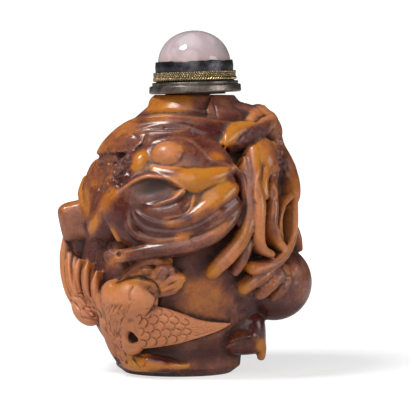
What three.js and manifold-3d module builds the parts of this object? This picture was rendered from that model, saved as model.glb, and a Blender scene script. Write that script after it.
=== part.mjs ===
// Carved amber snuff bottle with fingered citrons, a pomegranate and a crane, and its jewelled stopper.
// Millimetres, +Z up. The origin is the middle of the foot's underside, the carved front faces -Y.
import * as THREE from "three";
import { mergeVertices } from "three/addons/utils/BufferGeometryUtils.js";
import Module from "manifold-3d";

const wasm = await Module();
wasm.setup();

// Driving dimensions of the bottle's wall, before anything is carved on it
const belly = { halfWidth: 20.8, halfDepth: 14.6, height: 25.5, drop: 27, rise: 31 };
const neck = { top: 56.1, halfWidth: 6.9, halfDepth: 6.3, centreX: 2.9, flare: 0.5 };
const foot = { halfWidth: 10.6, halfDepth: 7.6, flare: 0.62 };
const wall = { thickness: 4.2, floor: 5.2, shoulder: 47 };
const mouth = { radius: 3.5, centreX: 3.4 };

// The carving of the front is laid out on the plane through the axis, as an eye before the bottle sees it
const eye = new THREE.Vector3(5.9, -420, 60);
const frontReach = 30; // nothing stands further in front of that plane
const root = 1.3; // how deep each carved form is rooted in the wall
const fingerSides = 5;
const ringSpacing = 4.5; // along a finger
const pitOpening = 3; // how far a drilled pit's cutter stands out of the surface

// Driving dimensions of the stopper
const stopper = { centreX: 3.5, seat: 56.7, tilt: THREE.MathUtils.degToRad(-2), gap: 0.3 };
const flange = { radius: 9.3, thickness: 1.2, stepRadius: 8.7, stepTop: 2.2 };
const bezel = { outer: 7.8, inner: 7.45, floor: 1.4, top: 6.4 };
const braid = { inner: 8.1, outer: 8.4, height: 1.8, strands: 3 };
const stone = { radius: 7.15, shoulder: 5.9, top: 12.6 };
const cork = { radius: 2.9, taper: 0.3, length: 6 };

const degrees = THREE.MathUtils.degToRad;
const mix = THREE.MathUtils.lerp;

// The larger of two sizes, with the corner between them eased
function easedMax(a, b, ease = 0.8) {
  return (a + b + Math.sqrt((a - b) ** 2 + ease ** 2)) / 2;
}

// Half width, half depth and middle of the wall's oval at a height
function ovalAt(z) {
  const reach = z > belly.height ? belly.rise : belly.drop;
  const share = Math.sqrt(Math.max(0, 1 - ((z - belly.height) / reach) ** 2));
  const neckGrowth = Math.max(0, neck.top - z) * neck.flare;
  const footGrowth = Math.max(0, z) * foot.flare;
  const end = z > belly.height ? neck : foot;
  const growth = z > belly.height ? neckGrowth : footGrowth;
  const within = Math.min(growth, 2);
  return {
    a: easedMax(belly.halfWidth * share, end.halfWidth + within),
    b: easedMax(belly.halfDepth * share, end.halfDepth + within),
    c: neck.centreX * THREE.MathUtils.smoothstep(z, 0, neck.top),
  };
}

// Below 1 inside the wall's outer face grown by lift, above 1 outside it
function shareOut(p, lift) {
  const { a, b, c } = ovalAt(p.z);
  return ((p.x - c) / (a + lift)) ** 2 + (p.y / (b + lift)) ** 2;
}

function outward(p) {
  const step = 0.2;
  const slope = (axis) => {
    const ahead = p.clone().addScaledVector(axis, step);
    const behind = p.clone().addScaledVector(axis, -step);
    return shareOut(ahead, 0) - shareOut(behind, 0);
  };
  return new THREE.Vector3(
    slope(new THREE.Vector3(1, 0, 0)),
    slope(new THREE.Vector3(0, 1, 0)),
    slope(new THREE.Vector3(0, 0, 1)),
  ).normalize();
}

// The point at a lift over the wall that the eye sees at this place of the layout plane
function front(across, up, lift) {
  const inPlane = new THREE.Vector3(across, 0, up);
  const sight = (t) => eye.clone().lerp(inPlane, t);
  const [start, end] = [1 + frontReach / eye.y, 1.01];
  const steps = 60;
  let closest = start;
  for (let i = 0; i <= steps; i++) {
    const t = mix(start, end, i / steps);
    if (shareOut(sight(t), lift) < shareOut(sight(closest), lift)) closest = t;
    if (shareOut(sight(t), lift) > 1) continue;
    let [outside, inside] = [mix(start, end, (i - 1) / steps), t];
    for (let halving = 0; halving < 12; halving++) {
      const middle = (outside + inside) / 2;
      if (shareOut(sight(middle), lift) > 1) outside = middle;
      else inside = middle;
    }
    return sight(inside);
  }
  return sight(closest);
}

// A layout for a side of the bottle that the eye doesn't see: across runs round the wall from a middle angle,
// which is 0 at the front and 90 on the right
function roundFrom(middleAngle) {
  const meanRadius = (belly.halfWidth + belly.halfDepth) / 2;
  return (across, up, lift) => {
    const angle = degrees(middleAngle) + across / meanRadius;
    const { a, b, c } = ovalAt(up);
    return new THREE.Vector3(c + (a + lift) * Math.sin(angle), -(b + lift) * Math.cos(angle), up);
  };
}

const rear = roundFrom(180);

function solidFrom(geometry) {
  geometry.deleteAttribute("normal");
  geometry.deleteAttribute("uv");
  const merged = mergeVertices(geometry, 1e-4);
  return new wasm.Manifold(
    new wasm.Mesh({
      numProp: 3,
      vertProperties: merged.attributes.position.array,
      triVerts: new Uint32Array(merged.index.array),
    }),
  );
}

function geometryFrom(solid) {
  const mesh = solid.getMesh();
  const positions = new THREE.BufferAttribute(mesh.vertProperties, mesh.numProp);
  return new THREE.BufferGeometry()
    .setAttribute("position", positions)
    .setIndex(new THREE.BufferAttribute(mesh.triVerts, 1));
}

function eachVertex(geometry, place) {
  const position = geometry.attributes.position;
  for (let i = 0; i < position.count; i++) {
    const p = place(new THREE.Vector3().fromBufferAttribute(position, i));
    position.setXYZ(i, p.x, p.y, p.z);
  }
  return geometry;
}

// A value between the entries of a short list, s running from 0 to 1
function along(list, s) {
  const at = THREE.MathUtils.clamp(s, 0, 1) * (list.length - 1);
  const i = Math.min(Math.floor(at), list.length - 2);
  return mix(list[i], list[i + 1], at - i);
}

// A finger along its points, its radius following a short list, with its underside rooted in the wall
function finger(place, points, radii) {
  const path = new THREE.CatmullRomCurve3(points.map((p) => place(...p)));
  const lifts = points.map((p) => p[2]);
  const length = path.getLength();
  const steps = Math.max(2, Math.round(length / ringSpacing));
  const [first, last] = [radii[0], radii[radii.length - 1]];
  const profile = [new THREE.Vector2(0, -first * 0.8)];
  for (let i = 0; i <= steps; i++) {
    profile.push(new THREE.Vector2(along(radii, i / steps), (length * i) / steps));
  }
  profile.push(new THREE.Vector2(0, length + last * 0.8));
  const straight = new THREE.LatheGeometry(profile, fingerSides);
  const bent = eachVertex(straight, (p) => {
    const s = THREE.MathUtils.clamp(p.y / length, 0, 1);
    const centre = path.getPointAt(s);
    const tangent = path.getTangentAt(s);
    const side = tangent.clone().cross(outward(centre)).normalize();
    const up = side.clone().cross(tangent);
    const depth = (along(lifts, s) + root) / along(radii, s);
    return centre
      .addScaledVector(side, p.x)
      .addScaledVector(up, p.z < 0 ? p.z * Math.max(1, depth) : p.z)
      .addScaledVector(tangent, p.y - s * length);
  });
  return solidFrom(bent);
}

// An oval boss on the wall: half sizes across, up and out, turned on the wall by spin degrees
function boss(place, [across, up, lift], [halfAcross, halfUp, halfOut], spin = 0, fine = 10) {
  const centre = place(across, up, lift);
  const out = outward(centre);
  const level = new THREE.Vector3(0, 0, 1).cross(out).normalize();
  const rising = out.clone().cross(level);
  const turn = degrees(spin);
  const wide = level.clone().multiplyScalar(Math.cos(turn)).addScaledVector(rising, Math.sin(turn));
  const tall = rising.multiplyScalar(Math.cos(turn)).addScaledVector(level, -Math.sin(turn));
  const ball = new THREE.SphereGeometry(1, fine, Math.round(fine * 0.6));
  const placed = eachVertex(ball, (p) =>
    centre
      .clone()
      .addScaledVector(wide, p.x * halfAcross)
      .addScaledVector(tall, p.y * halfUp)
      .addScaledVector(out, p.z * halfOut),
  );
  return solidFrom(placed);
}

// A leaf or wing laid on the wall: its spine and half widths run from tip to tip in the layout,
// and rise(s, t) is the lift along it, s, and across it, t from -1 to 1
function sheet(place, spine, halfWidths, rise, { cellsAlong = 6, cellsAcross = 2 } = {}) {
  const path = new THREE.SplineCurve(spine.map((p) => new THREE.Vector2(...p)));
  const slab = new THREE.BoxGeometry(1, 2, 1, cellsAlong, cellsAcross, 1);
  const laid = eachVertex(slab, (p) => {
    const s = p.x + 0.5;
    const centre = path.getPoint(s);
    const tangent = path.getTangent(s);
    const width = along(halfWidths, s) * p.y;
    const lift = p.z > 0 ? rise(s, p.y) : -root;
    return place(centre.x - tangent.y * width, centre.y + tangent.x * width, lift);
  });
  return solidFrom(laid);
}

// A closed solid of oval rings, each with its height, half width, half depth and middle
function ringStack(levels, sides) {
  const outline = levels.map((level, i) => new THREE.Vector2(1, i));
  outline.unshift(new THREE.Vector2(0, 0));
  outline.push(new THREE.Vector2(0, levels.length - 1));
  const lathe = new THREE.LatheGeometry(outline, sides);
  const placed = eachVertex(lathe, (p) => {
    const level = levels[Math.round(p.y)];
    return new THREE.Vector3(level.c + level.a * p.z, level.b * p.x, level.z);
  });
  return solidFrom(placed);
}

function bottleWall() {
  const rings = 11;
  const levels = [];
  for (let i = 0; i <= rings; i++) {
    const z = (neck.top / 2) * (1 - Math.cos((Math.PI * i) / rings));
    levels.push({ z, ...ovalAt(z) });
  }
  return ringStack(levels, 24);
}

// The hollow: an egg inside the wall, and the bored mouth above it
function hollow() {
  const rings = 7;
  const levels = [];
  for (let i = 0; i <= rings; i++) {
    const z = mix(wall.floor, wall.shoulder, (1 - Math.cos((Math.PI * i) / rings)) / 2);
    const round = Math.sin((Math.PI * (i + 0.6)) / (rings + 1));
    const oval = ovalAt(z);
    levels.push({
      z,
      a: Math.max(mouth.radius, (oval.a - wall.thickness) * round ** 0.5),
      b: Math.max(mouth.radius, (oval.b - wall.thickness) * round ** 0.5),
      c: mix(oval.c, mouth.centreX, i / rings),
    });
  }
  const bore = { a: mouth.radius, b: mouth.radius, c: mouth.centreX };
  levels.push({ z: wall.shoulder + 1.5, ...bore }, { z: neck.top + 1, ...bore });
  return ringStack(levels, 14);
}

// The large citron of the front: a swollen body, an eye-shaped fold and fingers that fan from a hub
function frontCitron() {
  const hub = [-9.2, 34.2];
  const fan = [
    { via: [-12.2, 30.6], tip: [-12.2, 27], radius: 1.1 },
    { via: [-10.6, 30.2], tip: [-9.6, 26.9], radius: 0.9 },
    { via: [-9, 29.4], tip: [-6.7, 26.3], radius: 1 },
    { via: [-6.2, 28.9], tip: [1.4, 27.9], radius: 1.05 },
    { via: [-4.6, 30.1], tip: [3.6, 31], radius: 1.1 },
    { via: [-3.6, 32], tip: [2.8, 34.6], radius: 1.15 },
  ];
  const fingers = [
    { path: [[-1.2, 39.1, 4.4], [4.9, 38.9, 4.6], [11.3, 40.6, 3.6]], radii: [2.2, 2.2, 1] },
    { path: [[0.8, 33.4, 4.4], [5.9, 34.6, 4.6], [10.7, 37.2, 3.8]], radii: [1.6, 1.9, 1.5] },
    { path: [[0.8, 29.4, 4.2], [6.9, 31.4, 4.4], [12.4, 35.2, 3.4]], radii: [1.3, 1.6, 1.4] },
    { path: [[3, 26.5, 3.8], [7.3, 28.5, 4], [12, 32.2, 3.2]], radii: [1.3, 1.5, 1.3] },
    { path: [[-11.8, 23.4, 4], [-7.3, 24.7, 4.4], [3.4, 27.8, 4]], radii: [1.8, 1.35, 1.2] },
    { path: [[-12, 39.5, 3.4], [-14.2, 36, 3.4], [-16, 31.8, 3.2], [-17.2, 28, 2.8]], radii: [1, 1.25, 1.1] },
    { path: [[-11.6, 36, 4], [-13.8, 31.8, 3.6], [-14.6, 27.6, 2.8]], radii: [1.2, 1.4, 1.1] },
  ];
  return [
    boss(front, [-1.4, 34.8, 0.4], [12.6, 12.2, 4.4], 0, 16),
    boss(front, [-1.4, 43.7, 3.4], [3.5, 3, 3]),
    boss(front, [-7.2, 42.2, 3.2], [1.7, 2.6, 2], -35, 8),
    boss(front, [-5.4, 36.9, 3.9], [7.4, 3.6, 2.4], 6, 12),
    ...fan.map(({ via, tip, radius }) =>
      finger(front, [[...hub, 4.2], [...via, 4.6], [...tip, 4]], [radius * 0.6, radius, radius]),
    ),
    ...fingers.map(({ path, radii }) => finger(front, path, radii)),
  ];
}

// The second citron, hanging on the right with its fingers curling under it
function rightCitron() {
  const fingers = [
    {
      path: [[15.4, 44.6, 2.8], [15.2, 36, 3.2], [13.4, 29.4, 3.4], [6.9, 19.4, 3.2]],
      radii: [1.6, 1.6, 1.7, 1.5],
    },
    {
      path: [[17.4, 42, 3.6], [17, 32.6, 3.8], [17.1, 26, 3.4], [20.4, 23.3, 2.8]],
      radii: [1.6, 1.5, 1.3, 1.1],
    },
    { path: [[20, 41.4, 3.6], [20.2, 33, 3.8], [20, 27.4, 3.4], [21.6, 25.4, 3]], radii: [1.7, 1.4, 1.2] },
    { path: [[23.2, 36, 3.2], [23.7, 31.6, 3.6], [21.9, 26.7, 3.4]], radii: [0.8, 0.8, 0.8] },
    {
      path: [[23, 40, 3], [24.6, 32.8, 3.4], [23.2, 26.2, 3.6], [18.6, 21.4, 3.6], [15.2, 21.4, 3.4]],
      radii: [1.8, 1.4, 1.3, 1.35, 1.2],
    },
    { path: [[14.2, 25.3, 1.8], [12.2, 20.7, 1.8]], radii: [1.1, 0.9] },
    { path: [[15.8, 18.6, 2], [13.2, 16.4, 1.8]], radii: [1, 0.8] },
  ];
  return [
    boss(front, [18.2, 41.6, 1.6], [4.2, 6.4, 2.8]),
    boss(front, [22, 40.6, 1.2], [3, 6.8, 2.8]),
    ...fingers.map(({ path, radii }) => finger(front, path, radii)),
    finger(front, [[25, 30, 1.6], [25.7, 24.6, 1.6]], [1.2, 0.4]),
  ];
}

// The pomegranate low on the right, its calyx hanging below it, with a small fingered fruit on top
function pomegranate() {
  const middle = new THREE.Vector3(19.5, -2.4, 18.2);
  const fruit = new THREE.SphereGeometry(7.8, 16, 9).translate(middle.x, middle.y, middle.z);
  const stalkEnd = new THREE.Vector3(17.4, -3.8, 12);
  const crown = new THREE.Vector3(12.6, -5.6, 4.4);
  const length = crown.distanceTo(stalkEnd);
  const outline = [[0, 0], [2.2, 0], [1.9, 0.35], [2.5, 0.7], [3.4, 1], [2.2, 0.92], [0, 0.7]];
  const cup = new THREE.LatheGeometry(outline.map(([r, share]) => new THREE.Vector2(r, share * length)), 10);
  const hang = crown.clone().sub(stalkEnd).normalize();
  cup.applyQuaternion(new THREE.Quaternion().setFromUnitVectors(new THREE.Vector3(0, 1, 0), hang));
  cup.translate(stalkEnd.x, stalkEnd.y, stalkEnd.z);
  const smallFruit = [
    { path: [[23.4, 21.2, 4.6], [18.4, 19.4, 4.2]], radii: [1.4, 1.2] },
    { path: [[22.2, 20, 4.4], [18.6, 16, 3.6]], radii: [1.5, 1.1] },
    { path: [[22.8, 19.6, 4.2], [20.2, 15.2, 3.6]], radii: [1.4, 0.9] },
  ];
  return [
    solidFrom(fruit),
    solidFrom(cup),
    boss(front, [23.6, 20.8, 3.4], [1.5, 1.8, 1.6], 0, 8),
    ...smallFruit.map(({ path, radii }) => finger(front, path, radii)),
  ];
}

// The crane: its body on the lower left, one wing raised, the other spread, its neck bent down to the foot
function crane() {
  const raisedFeathers = 5;
  const tailFeathers = [[-3, 21.2], [0.6, 20.2], [1.8, 18.3], [-0.6, 16.7]];
  const feathers = [];
  for (let i = 0; i < raisedFeathers; i++) {
    const share = i / (raisedFeathers - 1);
    const tip = [mix(-22.8, -16.4, share), mix(26.6, 19.9, share ** 1.2), 1.6];
    const shaft = [mix(-23, -17, share), mix(20.6, 16.6, share), 2.4];
    const base = [mix(-21.8, -15.6, share), mix(15, 12.4, share), 2];
    feathers.push(finger(front, [tip, shaft, base], [0.45, 0.95, 0.9]));
  }
  return [
    boss(front, [-8.3, 14.9, 1.2], [4.7, 4.3, 3.4], 0, 14),
    boss(front, [-11.4, 11.4, 0.8], [4.4, 4.8, 3], 12, 12),
    boss(front, [-18, 13.6, 0.2], [4, 3.7, 2.8], -20),
    finger(front, [[-12.2, 9.7, 1.6], [-12.2, 5.4, 1], [-10.4, 2.4, 0.6]], [3, 2.1, 1.5]),
    finger(front, [[-8.4, 2.7, 0.6], [-3, 2.2, 0.8], [2.4, 2.2, 0.2]], [1.7, 1.2, 0.4]),
    ...tailFeathers.map((tip) =>
      finger(front, [[-10, 17.6, 2], [-4, mix(17.6, tip[1], 0.7), 2.4], [...tip, 1.6]], [1.2, 1.3, 0.9]),
    ),
    sheet(
      front,
      [[-8, 8.4], [-2, 9], [3.8, 9.1], [10.7, 9.9]],
      [3.4, 3.9, 2.4, 0.25],
      (s, t) => 2.6 + 0.9 * (1 - t * t) * (1 - s),
    ),
    ...feathers,
  ];
}

// The leaves and the twig of the shoulder, and what hangs on the far left
function foliage() {
  return [
    sheet(
      front,
      [[-16, 44.3], [-9, 48.4], [0, 50], [8, 49.6], [14.6, 50.6]],
      [0.3, 2.2, 2.7, 2.5, 1.2],
      (s, t) => 2.9 + 1.3 * t * t - 0.9 * (1 - Math.abs(t)) + 1.2 * s,
    ),
    sheet(
      front,
      [[-12.6, 46], [-16.4, 41], [-18, 35.5], [-17.8, 29.6]],
      [0.8, 2.9, 2.5, 0.8],
      (s, t) => 1.8 + 1.2 * (1 - t * t),
    ),
    boss(front, [12.4, 49, 3.4], [3.6, 1.9, 2], 40, 8),
    boss(front, [13.4, 50.2, 0], [7.6, 3.4, 4.4], -26),
    boss(front, [-21, 31, 0.4], [3.3, 5.1, 3.2]),
    finger(front, [[14.8, 51.2, 4.2], [17.4, 53, 4.6], [19.8, 51.4, 3.8], [20.6, 47, 3]], [1.5, 1.6, 1.8, 2]),
  ];
}

// The plainer rear: a broad leaf with its midrib, a half pomegranate and the fingers of a third citron
function rearCarving() {
  const fingerCount = 4;
  const fingers = [];
  for (let i = 0; i < fingerCount; i++) {
    const share = i / (fingerCount - 1);
    const top = [mix(-19, -13, share), mix(40, 43, share), 2.2];
    const bend = [mix(-22, -9, share), mix(30, 31, share), 3.2];
    const tip = [mix(-20, -6, share), mix(21, 22, share ** 2), 2.4];
    fingers.push(finger(rear, [top, bend, tip], [1.7, 1.6, 1.1]));
  }
  return [
    sheet(
      rear,
      [[-8, 50], [0, 44], [6, 35], [7.5, 24], [3, 15]],
      [0.5, 4.2, 6.4, 5, 0.4],
      (s, t) => 1.6 + 1.1 * t * t + 0.4 * Math.cos(s * 8 * Math.PI) * Math.abs(t),
      { cellsAlong: 8 },
    ),
    finger(rear, [[-8, 50, 1.6], [0, 44, 2.2], [6, 35, 2.4], [7.5, 24, 2.2], [3, 15, 1.6]], [1, 0.8, 0.4]),
    boss(rear, [-16, 40, 0.6], [6.4, 5.4, 3.6], 20),
    boss(rear, [21, 20, 0], [6.2, 6.2, 4.6], 0, 12),
    finger(rear, [[20, 14.5, 2.2], [18.4, 10.6, 2.6]], [1.3, 2.1]),
    boss(rear, [14, 45, 0.4], [6, 3.4, 3], 30, 8),
    ...fingers,
  ];
}

// What the drill and gouge took out: the fold's eye, the pit by the crane's neck and the one under the twig
function pits() {
  return [
    boss(front, [-5.4, 36.9, 6.4], [6.1, 2.5, 2], 6, 12),
    boss(front, [-9.1, 7.1, 2 + pitOpening / 2], [1.4, 1.6, pitOpening], 0, 10),
    boss(front, [12.1, 44.4, 1.6 + pitOpening / 2], [1.3, 2.1, pitOpening], 0, 10),
  ];
}

function bottleSolid() {
  const carving = [
    ...frontCitron(),
    ...rightCitron(),
    ...pomegranate(),
    ...crane(),
    ...foliage(),
    ...rearCarving(),
  ];
  const room = new THREE.BoxGeometry(80, 80, neck.top).translate(0, 0, neck.top / 2);
  let solid = carving.reduce((whole, form) => whole.add(form), bottleWall());
  solid = solid.intersect(solidFrom(room));
  return pits().reduce((whole, pit) => whole.subtract(pit), solid.subtract(hollow()));
}

function lathed(outline, sides) {
  const geometry = new THREE.LatheGeometry(outline.map((p) => new THREE.Vector2(...p)), sides);
  return geometry.rotateX(Math.PI / 2);
}

function mountGeometry() {
  return lathed(
    [
      [0, 0],
      [flange.radius - 0.2, 0],
      [flange.radius, 0.3],
      [flange.radius, flange.thickness - 0.2],
      [flange.stepRadius, flange.thickness],
      [flange.stepRadius, flange.stepTop - 0.2],
      [flange.stepRadius - 0.2, flange.stepTop],
      [bezel.outer, flange.stepTop],
      [bezel.outer, bezel.top],
      [bezel.inner, bezel.top],
      [bezel.inner, bezel.floor],
      [0, bezel.floor],
    ],
    20,
  );
}

// The braided band: a ring whose outer face is worn into round strands
function braidGeometry() {
  const bottom = flange.stepTop + stopper.gap;
  const strand = braid.height / braid.strands;
  const outline = [[braid.inner, bottom]];
  for (let i = 0; i < braid.strands; i++) {
    outline.push([braid.outer - 0.2, bottom + strand * (i + 0.02)]);
    outline.push([braid.outer, bottom + strand * (i + 0.5)]);
  }
  outline.push([braid.outer - 0.2, bottom + braid.height], [braid.inner, bottom + braid.height]);
  outline.push([braid.inner, bottom]);
  return lathed(outline, 20);
}

function stoneGeometry() {
  const outline = [[0, bezel.floor + stopper.gap], [stone.radius, bezel.floor + stopper.gap]];
  const rings = 5;
  for (let i = 0; i < rings; i++) {
    const turn = (Math.PI / 2) * (i / rings);
    outline.push([stone.radius * Math.cos(turn), mix(stone.shoulder, stone.top, Math.sin(turn))]);
  }
  outline.push([0, stone.top]);
  return lathed(outline, 20);
}

function corkGeometry() {
  const [top, bottom] = [-stopper.gap, -stopper.gap - cork.length];
  const tip = cork.radius - cork.taper;
  return lathed([[0, bottom], [tip - 0.3, bottom], [tip, bottom + 0.3], [cork.radius, top], [0, top]], 12);
}

function named(name, geometry, material) {
  const mesh = new THREE.Mesh(geometry, new THREE.MeshStandardMaterial(material));
  mesh.name = name;
  return mesh;
}

const amber = { color: 0x8a4a26, roughness: 0.22, metalness: 0 };
const oldSilver = { color: 0x57565c, roughness: 0.35, metalness: 0.9 };
const gilding = { color: 0xa98243, roughness: 0.4, metalness: 0.9 };
const roseQuartz = { color: 0xb79ba3, roughness: 0.08, metalness: 0 };
const corkBark = { color: 0x6b5138, roughness: 0.9, metalness: 0 };

const stopperGroup = new THREE.Group();
stopperGroup.position.set(stopper.centreX, 0, stopper.seat);
stopperGroup.rotation.y = stopper.tilt;
stopperGroup.add(
  named("stopper_mount", mountGeometry(), oldSilver),
  named("stopper_braid", braidGeometry(), gilding),
  named("stopper_stone", stoneGeometry(), roseQuartz),
  named("stopper_cork", corkGeometry(), corkBark),
);

const snuffBottle = new THREE.Group();
snuffBottle.add(named("bottle", geometryFrom(bottleSolid()), amber), stopperGroup);

export default snuffBottle;
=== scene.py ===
import math
import random

import bpy
import numpy as np
from mathutils import Matrix, Vector, noise
from mathutils.bvhtree import BVHTree


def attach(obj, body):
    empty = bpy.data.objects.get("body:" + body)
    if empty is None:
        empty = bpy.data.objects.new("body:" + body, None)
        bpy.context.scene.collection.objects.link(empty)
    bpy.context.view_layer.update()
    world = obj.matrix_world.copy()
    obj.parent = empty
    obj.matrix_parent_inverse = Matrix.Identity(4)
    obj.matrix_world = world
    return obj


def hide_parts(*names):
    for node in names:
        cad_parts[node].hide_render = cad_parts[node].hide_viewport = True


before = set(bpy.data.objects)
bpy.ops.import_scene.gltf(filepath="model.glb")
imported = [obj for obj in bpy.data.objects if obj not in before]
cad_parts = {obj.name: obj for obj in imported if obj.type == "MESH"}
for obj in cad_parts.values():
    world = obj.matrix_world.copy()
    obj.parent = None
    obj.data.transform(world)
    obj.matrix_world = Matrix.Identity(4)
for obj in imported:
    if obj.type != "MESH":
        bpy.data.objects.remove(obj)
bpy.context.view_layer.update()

mm = 0.001

bpy.context.scene.view_settings.view_transform = "Standard"

# the plain oval blank that the carving stands on, in mm as in the frame
blank = {
    "halfWidth": 20.8, "halfDepth": 14.6, "widest": 25.5, "drop": 27.0, "rise": 31.0,
    "neckTop": 56.1, "neckHalfWidth": 7.3, "neckHalfDepth": 6.3, "neckCentre": 2.6, "neckFlare": 0.5,
    "footHalfWidth": 10.6, "footHalfDepth": 7.6, "footFlare": 1.3,
    "wallThickness": 4.2, "floor": 5.2, "shoulder": 47.0, "mouthRadius": 3.5, "mouthCentre": 3.4,
    "lip": 56.3, "trimmed": 0.2, "mostFlare": 2,
    "collarAt": (1.9, 0, 53.8), "collarHalves": (7.9, 6.8, 2.6), "collarSquareness": 0.2,
    "collarNarrowing": 0.12,
    # how far the hollow closes in at its shoulder and its floor
    "hollowSweep": 0.86, "hollowLead": 0.25,
}

camera = {
    "eye": (5.9, -420.0, 60.0),      # mm, a little above the flange
    "aim": (5.47, 0.0, 33.2),
    "seen": 84.7,                    # mm seen from top to bottom at the aim
}

eye = np.array(camera["eye"])
search = {"before": 30, "beyond": 1.01,
          "steps": 260}      # where along a line of sight the blank is looked for


def easedMax(a, b, ease=0.8):
    return (a + b + np.sqrt((a - b) ** 2 + ease**2)) / 2


def ovalAt(z):
    # half width, half depth and middle of the blank at a height
    z = np.asarray(z, dtype=float)
    upper = z > blank["widest"]
    reach = np.where(upper, blank["rise"], blank["drop"])
    share = np.sqrt(np.maximum(0, 1 - ((z - blank["widest"]) / reach) ** 2))
    neckGrowth = np.maximum(0, blank["neckTop"] - z) * blank["neckFlare"]
    footGrowth = np.maximum(0, z) * blank["footFlare"]
    growth = np.minimum(np.where(upper, neckGrowth, footGrowth), blank["mostFlare"])
    endWidth = np.where(upper, blank["neckHalfWidth"], blank["footHalfWidth"])
    endDepth = np.where(upper, blank["neckHalfDepth"], blank["footHalfDepth"])
    t = np.clip(z / blank["neckTop"], 0, 1)
    a = easedMax(blank["halfWidth"] * share, endWidth + growth)
    b = easedMax(blank["halfDepth"] * share, endDepth + growth)
    return a, b, blank["neckCentre"] * t * t * (3 - 2 * t)


def shareOut(p, lift):
    a, b, c = ovalAt(p[..., 2])
    return ((p[..., 0] - c) / (a + lift)) ** 2 + (p[..., 1] / (b + lift)) ** 2


def outward(p):
    step = 0.2
    slopes = [shareOut(p + step * axis, 0) - shareOut(p - step * axis, 0) for axis in np.eye(3)]
    out = np.stack(slopes, axis=-1)
    return out / np.linalg.norm(out, axis=-1, keepdims=True)


def front(places):
    # where the camera sees each (across, up, lift) of the layout plane, on the blank grown by lift
    places = np.atleast_2d(np.asarray(places, dtype=float))
    plane = np.stack([places[:, 0], np.zeros(len(places)), places[:, 1]], axis=-1)
    lift = places[:, 2]
    steps = np.linspace(1 + search["before"] / eye[1], search["beyond"], search["steps"])
    sight = eye + steps[:, None, None] * (plane - eye)
    share = shareOut(sight, lift)
    inside = share <= 1
    hit = inside.any(axis=0)
    first = np.clip(inside.argmax(axis=0), 1, None)
    column = np.arange(len(places))
    before, after = share[first - 1, column], share[first, column]
    blend = np.clip((before - 1) / np.maximum(before - after, 1e-9), 0, 1)
    t = np.where(hit, steps[first - 1] + blend * (steps[1] - steps[0]), steps[share.argmin(axis=0)])
    return eye + t[:, None] * (plane - eye)


def layoutOf(co):
    # the (across, up) of the layout plane behind points of the front
    t = eye[1] / (eye[1] - co[:, 1])
    return eye[[0, 2]] + (co[:, [0, 2]] - eye[[0, 2]]) * t[:, None]


def roundFrom(middleAngle):
    # the same for a side that the camera doesn't see: across runs round the blank from an angle
    meanRadius = (blank["halfWidth"] + blank["halfDepth"]) / 2

    def place(places):
        places = np.atleast_2d(np.asarray(places, dtype=float))
        angle = math.radians(middleAngle) + places[:, 0] / meanRadius
        a, b, c = ovalAt(places[:, 1])
        lift = places[:, 2]
        x = c + (a + lift) * np.sin(angle)
        y = -(b + lift) * np.cos(angle)
        return np.stack([x, y, places[:, 1]], axis=-1)

    return place


rear = roundFrom(180)


def between(values, s):
    return np.interp(s, np.linspace(0, 1, len(values)), values)


def readCo(mesh):
    co = np.empty(len(mesh.vertices) * 3)
    mesh.vertices.foreach_get("co", co)
    return co.reshape(-1, 3)


def writeCo(mesh, co):
    mesh.vertices.foreach_set("co", np.ascontiguousarray(co, dtype=np.float32).ravel())
    mesh.update()


def onlySelect(*objects):
    bpy.ops.object.select_all(action="DESELECT")
    for obj in objects:
        obj.select_set(True)
    bpy.context.view_layer.objects.active = objects[0]


def applyModifier(obj, kind, **settings):
    onlySelect(obj)
    modifier = obj.modifiers.new(kind.lower(), kind)
    for key, value in settings.items():
        setattr(modifier, key, value)
    bpy.ops.object.modifier_apply(modifier=modifier.name)


def joinObjects(objects, name):
    onlySelect(*objects)
    bpy.ops.object.join()
    joined = bpy.context.object
    joined.data.transform(joined.matrix_world)
    joined.matrix_world = Matrix()
    joined.name = name
    joined.data.name = name
    return joined


# how each form of the carving is finished: tone runs from clear dark cherry to opaque butterscotch,
# chalk is the pale peach bloom, and on some edges and clouds of the front painted highlight and painted
# sheen, matte is how little it was polished
finishes = {
    "cherry": (0.04, 0.0, 0.05),
    "clearBrown": (0.16, 0.0, 0.1),
    "redBrown": (0.34, 0.0, 0.15),
    "russet": (0.5, 0.1, 0.2),
    "honey": (0.72, 0.15, 0.15),
    "gold": (1.0, 0.0, 0.1),
    "peach": (0.85, 0.6, 0.3),
    "feather": (0.92, 0.7, 0.6),
    "pale": (1.0, 1.0, 0.5),
    "mauve": (0.3, 0.6, 0.2),
    "ground": (0.2, 0.1, 0.8),
}
finishNames = list(finishes)
forms = []          # every block of the carving before it becomes one piece


def keepForm(obj, finish):
    layer = obj.data.attributes.new("finish", "INT", "POINT")
    layer.data.foreach_set("value", np.full(len(obj.data.vertices), finishNames.index(finish)))
    forms.append(obj)
    return obj


def addSphere(segments, rings):
    bpy.ops.object.select_all(action="DESELECT")
    bpy.ops.mesh.primitive_uv_sphere_add(segments=segments, ring_count=rings, radius=1)
    return bpy.context.object


def smoothPath(points, count=160, perSpan=40):
    # a curve through the points as evenly spaced samples, and its length
    p = np.asarray(points, dtype=float)
    p = np.vstack([2 * p[0] - p[1], p, 2 * p[-1] - p[-2]])
    samples = []
    for i in range(1, len(p) - 2):
        t = np.linspace(0, 1, perSpan, endpoint=False)[:, None]
        a, b, c, d = p[i - 1], p[i], p[i + 1], p[i + 2]
        samples.append(0.5 * (2 * b + (c - a) * t + (2 * a - 5 * b + 4 * c - d) * t**2
                              + (3 * b - a - 3 * c + d) * t**3))
    samples = np.vstack(samples + [p[-2][None]])
    run = np.concatenate([[0], np.cumsum(np.linalg.norm(np.diff(samples, axis=0), axis=1))])
    even = np.linspace(0, run[-1], count)
    path = np.stack([np.interp(even, run, column) for column in samples.T], axis=-1)
    return path, run[-1]


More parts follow.
